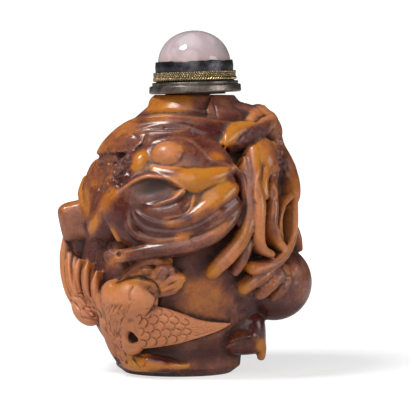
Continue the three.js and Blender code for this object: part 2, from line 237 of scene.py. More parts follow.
fingerShape = {
    "segments": 20, "ringsPerMm": 3, "fewestRings": 16,
    "tipReach": 0.6,         # how far the round tip passes the end of its line, in tip radii
    "root": 1.3,             # mm that the underside sinks into the blank
}


def addFinger(points, radii, finish, place=front):
    # a round-ended finger along its points, its underside rooted in the blank
    path, length = smoothPath(place(points))
    lifts = [p[2] for p in points]
    rings = max(fingerShape["fewestRings"], int(length * fingerShape["ringsPerMm"]))
    finger = addSphere(fingerShape["segments"], rings)
    co = readCo(finger.data)
    tipReach, root = fingerShape["tipReach"], fingerShape["root"]
    first, last = radii[0], radii[-1]
    at = (length + tipReach * (first + last)) * (co[:, 2] + 1) / 2 - tipReach * first
    s = np.clip(at / length, 0, 1)
    radius = between(radii, s)
    headIn = np.clip(((1 - tipReach) * first - at) / first, 0, 1)
    tailIn = np.clip((at - length + (1 - tipReach) * last) / last, 0, 1)
    cap = np.sqrt(np.maximum(0, 1 - headIn**2)) * np.sqrt(np.maximum(0, 1 - tailIn**2))
    turn = np.arctan2(co[:, 1], co[:, 0])
    index = s * (len(path) - 1)
    low = np.clip(index.astype(int), 0, len(path) - 2)
    share = (index - low)[:, None]
    centre = path[low] * (1 - share) + path[low + 1] * share
    tangents = np.gradient(path, axis=0)
    tangents /= np.linalg.norm(tangents, axis=1, keepdims=True)
    tangent = tangents[low]
    side = np.cross(tangent, outward(centre))
    side /= np.linalg.norm(side, axis=1, keepdims=True)
    up = np.cross(side, tangent)
    across, rise = np.cos(turn), np.sin(turn)
    depth = (between(lifts, s) + root) / np.maximum(radius, 0.05)
    rise = np.where(rise < 0, rise * np.maximum(1, depth), rise)
    placed = centre + side * (across * radius * cap)[:, None] + up * (rise * radius * cap)[:, None]
    placed += tangent * (at - s * length)[:, None]
    writeCo(finger.data, placed * mm)
    return keepForm(finger, finish)


def addFingers(fingers, place=front):
    for points, radii, finish in fingers:
        addFinger(points, radii, finish, place=place)


def placeBoss(boss, at, halves, place, spin):
    centre = place([at])[0]
    out = Vector(outward(centre))
    level = Vector((0, 0, 1)).cross(out).normalized()
    rising = out.cross(level)
    turn = math.radians(spin)
    wide = level * math.cos(turn) + rising * math.sin(turn)
    tall = rising * math.cos(turn) - level * math.sin(turn)
    axes = [wide * halves[0], tall * halves[1], out * halves[2]]
    matrix = Matrix.Translation(centre) @ Matrix([[a[i] for a in axes] for i in range(3)]).to_4x4()
    boss.data.transform(Matrix.Scale(mm, 4) @ matrix)


def addBlock(centre, halves, lean, finish, squareness=0.6):
    # a blunt block that stands off the blank, leaning in the front view by lean degrees
    block = addSphere(48, 32)
    co = readCo(block.data)
    co = np.sign(co) * np.abs(co) ** squareness * halves
    turned = np.array(Matrix.Rotation(math.radians(lean), 3, "Y"))
    writeCo(block.data, (co @ turned.T + centre) * mm)
    return keepForm(block, finish)


def addBoss(at, halves, finish, place=front, spin=0.0, squareness=1.0):
    # an oval boss: half sizes across, up and out, turned on the wall by spin degrees
    boss = addSphere(48, 32)
    if squareness < 1:
        co = readCo(boss.data)
        writeCo(boss.data, np.sign(co) * np.abs(co) ** squareness)
    placeBoss(boss, at, halves, place, spin)
    return keepForm(boss, finish)


def sheetPlan(lowerEdge, upperEdge):
    # (s, t) to (across, up) between two edges: s runs 0 to 1 along them, t from -1 below to 1 above
    lower, _ = smoothPath(lowerEdge)
    upper, _ = smoothPath(upperEdge)

    def plan(s, t):
        at = np.asarray(s) * (len(lower) - 1)
        steps = np.arange(len(lower))
        share = (np.asarray(t) + 1) / 2
        return [np.interp(at, steps, lower[:, i]) * (1 - share) + np.interp(at, steps, upper[:, i]) * share
                for i in range(2)]

    return plan


sheetShape = {"along": 110, "across": 40,
              "root": 1.5}      # how finely a sheet is divided, and mm that it sinks in


def addSheet(plan, rise, finish, place=front):
    # a leaf or a wing on the wall: rise(s, t) is its lift, and its underside is rooted in the blank
    along, across, root = sheetShape["along"], sheetShape["across"], sheetShape["root"]
    bpy.ops.object.select_all(action="DESELECT")
    bpy.ops.mesh.primitive_grid_add(x_subdivisions=along, y_subdivisions=across, size=2)
    sheet = bpy.context.object
    co = readCo(sheet.data)
    s, t = (co[:, 0] + 1) / 2, co[:, 1]
    x, z = plan(s, t)
    top = place(np.stack([x, z, rise(s, t)], axis=-1))
    under = place(np.stack([x, z, np.full(len(x), -root)], axis=-1))
    applyModifier(sheet, "SOLIDIFY", thickness=root * mm, offset=-1)
    writeCo(sheet.data, np.vstack([top, under]) * mm)
    return keepForm(sheet, finish)


def onRings(unit, z, a, b, c):
    # the rings of a unit sphere laid out as ovals of half sizes a and b round c, at the heights z
    ringRadius = np.sqrt(np.maximum(1 - unit[:, 2] ** 2, 1e-12))
    pole = np.abs(unit[:, 2]) > 0.9999
    x = c + np.where(pole, 0, a * unit[:, 0] / ringRadius)
    y = np.where(pole, 0, b * unit[:, 1] / ringRadius)
    return np.stack([x, y, z], axis=-1)


def addBlank():
    body = addSphere(128, 96)
    unit = readCo(body.data)
    z = (blank["lip"] + blank["trimmed"]) * (unit[:, 2] + 1) / 2
    writeCo(body.data, onRings(unit, z, *ovalAt(z)) * mm)
    keepForm(body, "ground")
    collar = addSphere(96, 32)                                 # the upright neck under the stopper
    unit = readCo(collar.data)
    ringRadius = np.sqrt(np.maximum(1 - unit[:, 2] ** 2, 1e-12))
    narrowing = 1 - blank["collarNarrowing"] * np.clip(-unit[:, 2], 0, 1)
    across = ringRadius ** blank["collarSquareness"] * narrowing
    x, y = unit[:, 0] / ringRadius * across, unit[:, 1] / ringRadius * across
    shape = np.stack([x, y, unit[:, 2]], axis=-1)
    writeCo(collar.data, (shape * blank["collarHalves"] + blank["collarAt"]) * mm)
    keepForm(collar, "ground")


def addCavity():
    # the hollow and its bored mouth, as the frame has them
    cavity = addSphere(48, 60)
    unit = readCo(cavity.data)
    top = blank["neckTop"] + 1
    z = blank["floor"] + (top - blank["floor"]) * (unit[:, 2] + 1) / 2
    share = np.clip((z - blank["floor"]) / (blank["shoulder"] - blank["floor"]), 0, 1)
    sweep = np.arccos(np.clip(1 - 2 * share, -1, 1)) * blank["hollowSweep"] + blank["hollowLead"]
    rounded = np.where(share >= 1, 0, np.sin(sweep) ** 0.5)
    a, b, c = ovalAt(z)
    a = np.maximum(blank["mouthRadius"], (a - blank["wallThickness"]) * rounded)
    b = np.maximum(blank["mouthRadius"], (b - blank["wallThickness"]) * rounded)
    c = c + (blank["mouthCentre"] - c) * share
    writeCo(cavity.data, onRings(unit, z, a, b, c) * mm)
    return cavity


# the large citron of the front: fingers swirl from its left to the upper right round a hollow
def addFrontCitron():
    addBoss((-2, 35.3, 0.9), (13.4, 11.6, 4.6), "clearBrown")
    addBoss((1.6, 42.1, 2.4), (9.6, 6.4, 2.9), "clearBrown", spin=-8)
    addBoss((-13.8, 32.6, 1.2), (4.6, 6.6, 3.1), "clearBrown", spin=-30)
    addBoss((-1.9, 43.8, 3.4), (3.6, 3.0, 3.1), "peach")
    addBoss((-7.3, 42.5, 4.0), (1.9, 2.8, 2.0), "gold", spin=-25)
    addFingers([
        ([(-12.4, 36.3, 3.9), (-10.5, 37.7, 4.9), (-8.3, 39.1, 5.4), (-6.1, 39.9, 5.6), (-3.6, 39.7, 5.6),
          (-1, 38.9, 5.5), (1.2, 37.5, 5.3)], [0.5, 0.8, 0.85, 0.75], "clearBrown"),
        ([(-5.3, 40.9, 4.1), (-1.2, 39.7, 4.5), (2.8, 38.9, 4.7), (7.3, 39.7, 4.5), (11.5, 41.5, 3.9)],
         [1.6, 2.2, 2.6, 1.9, 0.9], "gold"),
        ([(-9.3, 34.4, 4.9), (-5.7, 33.8, 5.3), (-2.4, 34.4, 5.6), (0.4, 36.3, 5.6), (1.6, 37.5, 5.2)],
         [0.4, 0.65, 0.85, 0.75], "clearBrown"),
        ([(-8.9, 33.8, 4.8), (-6.1, 32.8, 4.9), (-3, 32.4, 5.0), (0, 33.2, 4.9), (2.6, 35.5, 4.6)],
         [0.4, 1.15, 1.6, 1.65, 1.0], "redBrown"),
        ([(-9.1, 33.4, 5.1), (-7.1, 31.4, 5.4), (-4.3, 30.4, 5.2), (-0.6, 30.2, 4.9), (2.8, 31.4, 4.7),
          (6.1, 33.6, 4.5), (8.9, 35.7, 4.3), (11.1, 37.7, 4.0)], [0.4, 0.9, 1.2, 1.55, 1.9, 2.2, 1.8],
         "clearBrown"),
        ([(-9.5, 33.2, 5.2), (-8.5, 30.8, 5.4), (-6.1, 29, 5.1), (-2, 28.4, 4.8), (2, 28.8, 4.7),
          (5.5, 30.2, 4.7), (8.7, 32.4, 4.6), (11.8, 35, 3.9)], [0.4, 0.8, 1.0, 1.25, 1.35, 1.6, 1.3],
         "clearBrown"),
        ([(-10.1, 33.2, 5.2), (-9.9, 30.2, 5.3), (-8.5, 28, 5.0), (-5.5, 27.1, 4.6), (-1.4, 26.9, 4.6),
          (2, 27.6, 4.6)], [0.4, 0.9, 0.9, 0.95, 1.1, 1.25], "redBrown"),
        ([(-13.2, 23.5, 4.0), (-9.7, 23.9, 4.2), (-5.7, 24.7, 4.4), (-1.2, 25.3, 4.5), (3.4, 26.3, 4.4),
          (7.3, 28, 4.3), (10.5, 30.8, 4.0), (12.6, 34.4, 3.3)], [1.3, 1.35, 1.4, 1.5, 1.6, 1.65, 1.4, 0.8],
         "redBrown"),
        ([(-12.2, 38.9, 3.6), (-13.6, 37.1, 4.0), (-15, 34, 3.9), (-16.4, 31, 3.5), (-17.8, 28.2, 2.9)],
         [0.6, 1.05, 1.1, 0.9, 0.35], "russet"),
        ([(-13, 32.8, 3.7), (-13.1, 29.8, 3.8), (-12, 26.7, 3.4)], [0.4, 0.9, 0.4], "gold"),
        ([(-10.7, 35, 4.3), (-11.8, 32.2, 4.3), (-11.5, 29.4, 4.1), (-10.3, 26.9, 3.8)],
         [0.4, 0.7, 0.7, 0.4], "clearBrown"),
        ([(3.2, 33.2, 4.1), (5.7, 35.5, 4.5), (8.5, 37.5, 4.4), (11.1, 39.1, 3.8)], [0.9, 1.5, 1.6, 0.9],
         "gold"),
        ([(5.9, 43.8, 3.0), (9.1, 42.1, 3.4), (12, 40.7, 3.5), (13.4, 37.5, 3.2), (13.4, 33.4, 2.9),
          (12.2, 30.2, 2.6)], [0.5, 0.7, 0.8, 0.8], "clearBrown"),
    ])
    addBoss((-9.6, 34.2, 5.0), (0.8, 0.8, 0.8), "redBrown")
    addBoss((-13.4, 23.5, 3.9), (1.7, 1.65, 1.7), "peach")


# the second citron, hanging on the right with its fingers curling under it
def addRightCitron():
    addBoss((17, 43.6, 2.5), (3.5, 4.6, 3.0), "honey")
    addBoss((21.5, 40.7, 1.1), (2.7, 7.0, 2.6), "redBrown")
    addFingers([
        ([(13.4, 43.2, 2.4), (14.4, 38.7, 3.4), (14.8, 33.6, 3.7), (14.2, 29.8, 3.8), (12.8, 26.5, 3.7),
          (10.5, 23.7, 3.6), (8.1, 21.3, 3.4), (6.5, 19.4, 3.0)],
         [1.2, 1.15, 1.15, 1.2, 1.3, 1.45, 1.5, 1.3], "honey"),
        ([(15.4, 45.2, 3.2), (15.6, 41.1, 4.0), (15.8, 37.5, 4.3), (16.4, 34.2, 4.5), (16.4, 30.2, 4.4),
          (16.6, 26.9, 4.1), (17.4, 24.9, 3.9), (19.2, 23.9, 3.7)],
         [1.8, 1.4, 1.1, 1.45, 1.4, 1.2, 1.0, 0.75], "peach"),
        ([(19, 45.8, 3.0), (18.2, 42.3, 4.0), (17.4, 38.7, 4.4), (17.6, 35.5, 4.2)], [1.7, 1.4, 1.0, 0.9],
         "gold"),
        ([(19.9, 41.9, 3.4), (19.2, 37.9, 3.9), (19.4, 33.8, 4.1), (19.2, 30.2, 4.1), (20.1, 27.1, 3.8),
          (21.3, 25.3, 3.3)], [1.0, 0.95, 1.05, 1.1, 1.05, 0.95], "russet"),
        ([(22.7, 42.1, 2.2), (23.3, 38.1, 2.6), (23.6, 33.8, 3.0), (23.6, 30.2, 3.3), (23.3, 27.4, 3.5),
          (22.3, 24.8, 3.7), (20.5, 22.6, 3.8), (18, 21.3, 3.8), (15, 21, 3.6)],
         [1.2, 1.2, 0.8, 0.75, 0.8, 0.85, 1.0, 1.2, 1.35], "honey"),
        ([(22.9, 35.9, 3.2), (21.3, 33.8, 3.6), (20.7, 30.6, 3.7), (21.1, 26.9, 3.5)], [0.7, 0.55, 0.45],
         "russet"),
        ([(14.6, 27.4, 2.4), (13.6, 23.9, 2.6), (12.4, 21.3, 2.4), (11.5, 19.9, 2.1)],
         [0.9, 1.05, 0.95, 0.7], "mauve"),
    ])
    addFinger([(23.7, 29.4, 1.2), (24.5, 26.9, 1.2), (25.3, 24.7, 1.0)], [0.8, 0.8, 0.15], "russet")


pomegranate = {
    "at": (19.3, -2.4, 18.6), "radius": 7.75,
    "calyxAt": (13.2, -4.6, 8.7), "calyxHalves": (4.5, 4.6, 4.5), "calyxLean": -3,
    "prongAt": (16.9, -4.9, 4.9), "prongHalves": (0.9, 1.2, 1.9), "prongLean": 8,
}


# the pomegranate low on the right, its calyx below it and a small fingered fruit on top
def addPomegranate():
    fruit = addSphere(72, 56)
    grown = Matrix.Scale(pomegranate["radius"] * mm, 4)
    fruit.data.transform(Matrix.Translation(Vector(pomegranate["at"]) * mm) @ grown)
    keepForm(fruit, "cherry")
    addBlock(pomegranate["calyxAt"], pomegranate["calyxHalves"], pomegranate["calyxLean"], "cherry")
    addBlock(pomegranate["prongAt"], pomegranate["prongHalves"], pomegranate["prongLean"], "honey")
    addFingers([
        ([(10.5, 5.9, 2.2), (12.6, 6.9, 2.9), (15, 7.1, 3.3), (17, 6.7, 3.0)], [0.2, 0.35, 0.35, 0.25],
         "clearBrown"),
        ([(16.4, 6.7, 3.0), (16.7, 5.5, 3.2), (17, 4.3, 2.8)], [1.0, 1.0, 0.6], "honey"),
        ([(9.7, 4.9, 0.9), (11.3, 5.9, 1.5)], [0.3, 0.4], "redBrown"),
    ])
    addBoss((20.7, 20.5, 2.6), (3.0, 1.9, 2.3), "honey", spin=-12)
    addBoss((22.7, 20.5, 3.2), (1.9, 2.1, 2.1), "mauve", spin=-20, squareness=0.7)
    addFingers([
        ([(19.4, 20.7, 3.8), (16.2, 18.6, 4.0), (13, 16.6, 2.8)], [1.2, 1.2, 1.1], "honey"),
        ([(20.7, 20.1, 4.2), (18.4, 17.6, 4.4), (16.4, 15.4, 3.6)], [1.7, 1.55, 1.1], "honey"),
        ([(22.1, 19.4, 4.2), (20.9, 16.8, 4.4), (19, 14.6, 3.6)], [1.4, 1.25, 0.5], "russet"),
    ])


crane = {
    "wingLower": [(-8.5, 4.7), (-5.3, 4.9), (-1.2, 5.5), (2, 6.3), (5.3, 7.3), (8.5, 8.5), (10.7, 9.7)],
    "wingUpper": [(-9.3, 10.3), (-6.5, 12.6), (-3.6, 13.2), (0.8, 11.9), (4.1, 10.7), (6.9, 10.2),
                  (10.7, 9.9)],
    "flankLeft": [(-15.4, 14.8), (-15.2, 10.3), (-14, 5.7), (-12.2, 1)],
    "flankRight": [(-8.3, 14.8), (-10.9, 10.3), (-11.5, 5.7), (-9.3, 1.8)],
}


# the crane: body low on the left, one wing raised, the other spread, the neck bent down to the foot
def addCrane():
    addBoss((-8.9, 15, 1.5), (4.8, 4.1, 3.8), "feather", spin=-8)
    addBoss((-12, 13.6, 1.2), (4.0, 5.4, 3.4), "feather", spin=12)
    addBoss((-12.8, 8.7, 0.4), (2.6, 5.2, 2.9), "feather", spin=10)
    addBoss((-11.5, 5.3, 0.4), (2.6, 4.2, 2.7), "feather", spin=25)
    addBoss((-9.9, 3.8, 0.6), (2.8, 1.6, 2.2), "gold", spin=-10)
    addBoss((-8.1, 9.5, 1.2), (3.2, 3.6, 2.6), "feather")
    addBoss((-9.5, 6.7, 0.8), (2.8, 3.4, 2.6), "feather")
    addBoss((-18.4, 13.2, 0.3), (4.6, 3.4, 3.1), "feather", spin=-32)
    addFingers([
        ([(-13.8, 11.1, 1.2), (-12.8, 6.7, 0.9), (-11.1, 3.2, 0.8), (-8.9, 1.6, 0.8)], [2.4, 2.2, 2.0, 1.6],
         "feather"),
        ([(-9.3, 1.8, 0.9), (-6.1, 1.8, 1.2), (-2.4, 1.4, 1.0), (2, 1.2, 0.2)], [1.7, 1.9, 1.6, 0.5],
         "gold"),
        ([(-22.7, 28.2, 1.5), (-23.2, 23.9, 2.2), (-23, 19.9, 2.4), (-22.1, 16.2, 2.0), (-20.5, 12.6, 1.4)],
         [0.6, 0.85, 0.9, 0.85, 0.5], "feather"),
        ([(-22, 25.5, 1.7), (-22.2, 21.9, 2.5), (-21.7, 18, 2.6), (-20.3, 14.8, 2.1), (-18.4, 12, 1.5)],
         [0.2, 0.8, 0.9, 0.8, 0.5], "feather"),
        ([(-20.1, 23.1, 1.9), (-20.6, 20.3, 2.6), (-20.3, 16.8, 2.6), (-19, 14, 2.1), (-17.2, 11.5, 1.6)],
         [0.2, 0.8, 0.9, 0.8, 0.5], "feather"),
        ([(-18.3, 22.7, 2.0), (-18.8, 19.7, 2.8), (-18.4, 16.2, 2.7), (-16.8, 12.6, 2.0)],
         [0.2, 0.85, 0.9, 0.7], "feather"),
        ([(-16.5, 20.7, 2.0), (-17, 17.6, 2.8), (-16.6, 14.6, 2.7), (-15.4, 11.5, 2.0)],
         [0.2, 0.85, 0.9, 0.8], "feather"),
    ])
    wing = sheetPlan(crane["wingLower"], crane["wingUpper"])
    addSheet(wing, lambda s, t: 2.1 + 1.3 * (1 - t * t) * (1 - s) + 0.5 * s,
             "feather")    # crowned at its root
    addTailLobe()


def addTailLobe():
    addBoss((-5.3, 19, 0.9), (6.2, 3.3, 2.9), "russet", spin=-2)
    addBoss((-5.7, 22.7, 1.4), (4.6, 1.8, 2.0), "redBrown")
    addFingers([
        ([(-10.9, 19, 2.4), (-8.5, 21.3, 3.2), (-5.3, 22.5, 3.4), (-2, 22.1, 2.8)], [0.7, 0.85, 0.8, 0.7],
         "redBrown"),
        ([(-9.7, 18.8, 2.8), (-7.1, 20.5, 3.6), (-5.3, 20.7, 3.4)], [0.8, 0.9, 0.7], "russet"),
        ([(-5.1, 19, 3.0), (-3.2, 20.7, 3.8), (-1.2, 20.7, 3.4)], [0.9, 1.3, 1.0], "honey"),
        ([(-4.5, 18, 3.2), (-1.6, 19, 3.7), (1.2, 19, 3.0)], [0.8, 0.95, 1.0], "peach"),
        ([(-4.3, 17, 2.9), (-2, 17.4, 3.5), (0.6, 17.6, 2.8)], [0.7, 0.8, 0.8], "peach"),
        ([(-4.3, 15.8, 2.4), (-2.2, 16.2, 3.0), (-0.2, 16.6, 2.4)], [0.7, 0.75, 0.6], "mauve"),
    ])


foliage = {
    "leafLower": [(-16.4, 44.2), (-14.4, 44.6), (-12, 44.5), (-9.5, 45), (-7.1, 46.3), (-4.1, 47.4),
                  (-0.4, 47.9), (2.8, 47.2), (5.3, 45.4), (8.1, 45.8), (10.1, 47.2)],
    "leafUpper": [(-16.5, 44.7), (-15.4, 46.6), (-13.7, 48.5), (-11.9, 50), (-9.7, 51.3), (-6.9, 52.1),
                  (-3.6, 52.5), (0, 52.4), (3.6, 52), (6.9, 51.5), (9.3, 51.1), (11.3, 50.9)],
    "sideLower": [(-16.2, 43.6), (-18, 41.3), (-19.2, 38.3), (-19.4, 35), (-19, 30.6)],
    "sideUpper": [(-10.1, 43.8), (-12.2, 40.7), (-14.4, 37.9), (-15.8, 34.4), (-17.4, 30.2)],
}


def shoulderLeafRise(s, t):
    # cupped, with a midrib and a thin edge
    midrib = 0.4 * np.exp(-((t - 0.1) / 0.14) ** 2)
    thinEdge = 0.7 * np.clip(np.abs(t) - 0.93, 0, 1) / 0.07
    return 4.1 - 0.6 * s + 0.8 * np.abs(t) ** 3 + midrib - thinEdge


def sideLeafRise(s, t):
    return 2.2 - 0.6 * s + 1.0 * (1 - t * t) + 0.25 * np.sin(9 * s + 3 * t)


# the leaves and the twig of the shoulder, and what hangs on the far left
def addFoliage():
    leaf = sheetPlan(foliage["leafLower"], foliage["leafUpper"])
    addSheet(leaf, shoulderLeafRise, "redBrown")
    addBlock((-11.4, 1.8, 46.6), (5.4, 3.6, 2.8), -44, "redBrown", squareness=1)
    side = sheetPlan(foliage["sideLower"], foliage["sideUpper"])
    addSheet(side, sideLeafRise, "redBrown")
    addBlock((-16.6, 1.2, 37), (2.6, 3.4, 6.4), 6, "russet", squareness=1)
    addBoss((-13, 43.2, 1.2), (3.8, 2.6, 2.4), "ground")
    addBoss((-11.5, 44, 1.5), (1.8, 1.3, 1.8), "ground")
    addBoss((7.7, 43.6, 2.4), (2.6, 2.0, 1.6), "honey")
    addBlock((-19.4, -0.8, 31.2), (4.5, 4.6, 3.9), -12, "mauve", squareness=0.4)
    addBoss((-19, 27.8, -0.6), (3.4, 4.6, 3.0), "clearBrown")
    addFinger([(-18.6, 39.5, 1.5), (-19.2, 36.3, 1.8), (-18.5, 32.8, 1.5)], [0.7, 1.2, 0.5], "honey")
    addBoss((-22.3, 28, 1.8), (0.9, 1.0, 1.2), "gold")
    saddle = sheetPlan([(5.3, 51.7), (9.5, 50.9), (13.6, 50.6), (17, 49.8)],
                       [(6.9, 56.5), (10.5, 56.4), (14.2, 55.8), (17.8, 54.5)])
    addSheet(saddle, lambda s, t: 0.8 + 1.4 * s + 0.5 * (1 - t * t), "clearBrown")
    fold = sheetPlan([(9.7, 45.6), (11.8, 46.9), (14, 48.7), (16.2, 50.2)],
                     [(8.9, 46.6), (9.3, 49), (11.3, 50.8), (15, 51.1)])
    addSheet(fold, lambda s, t: 4.3 + 0.9 * (1 - t * t) + 0.3 * s, "gold")
    addBoss((17.6, 50, 0.9), (3.0, 4.4, 2.9), "clearBrown", spin=25)
    addBoss((16.6, 51.5, 1.9), (3.4, 3.0, 2.6), "ground", spin=20)
    addBlock((12.4, -1.2, 53.2), (4.8, 4.2, 1.6), 16, "ground")
    addFinger([(14.6, 51.1, 3.2), (16, 52.2, 3.0), (17.4, 53.3, 2.0)], [0.9, 1.4, 1.0], "peach")
    addFingers([
        ([(10.7, 45.6, 2.8), (13.6, 47.3, 4.0), (16.6, 49.3, 4.3), (19.2, 51.3, 3.2)], [0.7, 1.4, 1.6, 1.3],
         "ground"),
        ([(18.2, 52.3, 2.6), (18.9, 51.3, 2.6), (19.4, 49.2, 2.4), (20.3, 46, 1.6), (22.1, 43, 1.5)],
         [1.2, 1.4, 1.4, 1.3, 1.2], "clearBrown"),
    ])


def rearLeafRise(s, t):
    veins = np.cos((s + 0.06 * np.abs(t)) * 14 * math.pi) * np.abs(t)
    return 1.7 + 1.1 * t * t + 0.4 * veins


# the plainer rear: a broad veined leaf, a half pomegranate, small fruits and a third citron
def addRear():
    addBoss((-17.5, 39, 0.8), (6.2, 5.2, 3.8), "honey", place=rear, spin=20)
    for start, bend, tip, radius, finish in [
        ((-21, 38), (-22, 29), (-19.5, 20.5), 1.5, "honey"),
        ((-19.5, 37.5), (-19.5, 27), (-17, 18.5), 1.9, "russet"),
        ((-16.5, 38), (-15.5, 28), (-12.5, 19.5), 1.8, "gold"),
        ((-13.5, 39.5), (-11, 31), (-7.5, 23), 1.6, "redBrown"),
        ((-11.8, 42), (-8.2, 36.5), (-4.6, 31.5), 1.2, "honey"),
    ]:
        lift = 3.4 + 0.5 * min(0, 17 + bend[0])            # lower towards the side, within the outline
        points = [(*start, 0.8 * lift), (*bend, lift), (*tip, 0.7 * lift)]
        addFinger(points, [radius, radius, 0.7 * radius], finish, place=rear)
    plan = sheetPlan([(-8, 50), (-4, 42), (0.5, 33), (3, 24), (3, 15)],
                     [(-8, 50), (5, 47), (12, 37), (12, 25), (3, 15)])
    addSheet(plan, rearLeafRise, "redBrown", place=rear)
    addFingers([
        ([(-8, 50, 1.6), (0, 44, 2.2), (6, 35, 2.4), (7.5, 24, 2.2), (3, 15, 1.6)],
         [0.6, 0.8, 0.8, 0.6, 0.3], "russet"),
        ([(3, 15, 1.4), (5, 11, 1.7), (9.5, 8, 1.6), (14, 8.5, 1.2)], [0.4, 0.6, 0.7, 0.5], "clearBrown"),
        ([(20, 14.5, 2.2), (18.4, 10.6, 2.6)], [1.3, 2.1], "clearBrown"),
        ([(16, 26, 2.0), (12, 31, 2.4), (10, 38, 2.4), (13, 44, 2.2)], [0.5, 0.8, 0.8, 0.7], "ground"),
    ], place=rear)
    addBoss((21, 20, 0), (6.2, 6.2, 4.6), "cherry", place=rear)
    addBoss((14, 45, 0.4), (6, 3.4, 3), "russet", place=rear, spin=30)
    addBoss((-6, 12, 0), (3.6, 3.2, 2.6), "gold", place=rear, spin=20)
    addBoss((-11.5, 10.5, 0), (3.0, 2.8, 2.4), "russet", place=rear)


carving = {
    "voxel": 0.21,       # mm, of the remesh that makes one solid
    "smoothing": 4, "smoothingAfterBoring": 2, "smoothingFactor": 0.5, "easingPull": 0.6,
    "triangles": 192000,
    # hollows of three sizes for the dirt and the painted shade of deep valleys, as (rounds of softening,
    # depth in mm, strength)
    "hollows": [(6, 0.04, 0.5), (40, 0.3, 0.4), (160, 0.9, 0.2)],
}

# deep holes, as (at, half sizes, spin), bored before the polish
pits = [
    ((-6.3, 37.1, 7.0), (6.0, 2.4, 1.8), 7),
    ((-9.4, 7.1, 3.0), (1.5, 1.6, 2.6), -20),
    ((-12.2, 24.1, 5.6), (0.8, 0.8, 0.9), 0),
    ((11.8, 44, 3.4), (1.6, 2.2, 3.4), 10),
    ((-16, 24.9, 2.0), (1.6, 2.6, 1.6), 0),
]


# places of the front that are worn smooth before the fine cutting, as (at, half sizes, spin, rounds)
easings = [
    ((-10.5, 13.6), (5.07, 5.67), 8, 60),
    ((-13, 8.3), (2.63, 6.08), 12, 60),
    ((-16.8, 14.8), (2.43, 3.65), -20, 12),
    ((16.2, 50.4), (4.46, 3.24), 0, 16),
    ((21.9, 43.2), (3.24, 7.29), -15, 24),
    ((7.3, 34), (5.27, 6.89), 0, 8),
    ((-6.1, 37.1), (6.08, 1.82), 5, 10),
    ((-15, 31.8), (3.65, 6.08), -20, 12),
    ((-1.6, 50), (12.97, 2.84), 5, 10),
    ((-11.8, 47.8), (5.27, 2.84), 38, 12),
    ((15.4, 5.9), (3.24, 2.84), 0, 20),
    ((-19.4, 30.6), (3.65, 5.27), 0, 20),
    ((5.7, 45.2), (5.27, 2.84), 0, 20),
    ((5.5, 16.4), (6.08, 6.08), 0, 25),
]


def ovalWeight(at, centre, halves, spin, fade=0.35):
    turn = math.radians(spin)
    dx, dz = at[:, 0] - centre[0], at[:, 1] - centre[1]
    along = (dx * math.cos(turn) + dz * math.sin(turn)) / halves[0]
    over = (dz * math.cos(turn) - dx * math.sin(turn)) / halves[1]
    weight = np.clip((1 + fade / 2 - np.sqrt(along**2 + over**2)) / fade, 0, 1)
    return weight * weight * (3 - 2 * weight)


def readEdges(mesh):
    edges = np.empty(len(mesh.edges) * 2, dtype=np.int32)
    mesh.edges.foreach_get("vertices", edges)
    return edges.reshape(-1, 2)


def linkCount(a, b, size):
    # how many edges meet at each of size vertices, for the edges from a to b
    return np.maximum(np.bincount(a, minlength=size) + np.bincount(b, minlength=size), 1)[:, None]


def linkTotal(a, b, values):
    # the values at the other ends of each vertex's edges, added up
    return np.stack([np.bincount(a, weights=values[b, i], minlength=len(values))
                     + np.bincount(b, weights=values[a, i], minlength=len(values))
                     for i in range(values.shape[1])], axis=-1)


def easeForms(mesh):
    co = readCo(mesh)
    at = layoutOf(co / mm)
    edges = readEdges(mesh)
    for centre, halves, spin, rounds in easings:
        weight = ovalWeight(at, centre, halves, spin) * (co[:, 1] < 0)
        own = np.where(weight > 0)[0]
        index = np.full(len(co), -1)
        index[own] = np.arange(len(own))
        a, b = index[edges].T
        inside = (a >= 0) & (b >= 0)
        a, b = a[inside], b[inside]
        count = linkCount(a, b, len(own))
        p = co[own]
        pull = carving["easingPull"] * weight[own][:, None]
        for _ in range(rounds):
            p = p + pull * (linkTotal(a, b, p) / count - p)
        co[own] = p
    writeCo(mesh, co)


# rough, unpolished places of the front, as (at, half sizes, spin, height, size of the grain)
roughPlaces = [
    ((-14, 40.7), (4.05, 4.86), -25, 0.26, 1.2),
    ((-11.3, 42.5), (1.62, 2.63), -25, 0.3, 1.0),
    ((15.8, 48.4), (4.86, 1.62), 32, 0.16, 0.9),
    ((21.1, 45.2), (1.01, 5.27), 0, 0.22, 0.8),
    ((-15.8, 24.5), (2.84, 2.84), 0, 0.22, 0.9),
    ((18.6, 17.6), (5.67, 2.43), 35, 0.16, 0.8),
    ((12.6, 9.7), (2.43, 6.08), 0, 0.12, 1.0),
]


def roughen(co, normals):
    at = layoutOf(co)
    for centre, halves, spin, height, size in roughPlaces:
        weight = ovalWeight(at, centre, halves, spin) * (co[:, 1] < 0)
        own = np.where(weight > 0)[0]
        rise = np.array([noise.turbulence(Vector(p) / size, 3, False) - 0.5 for p in co[own]])
        co[own] += normals[own] * (rise * height * weight[own])[:, None]
    return co


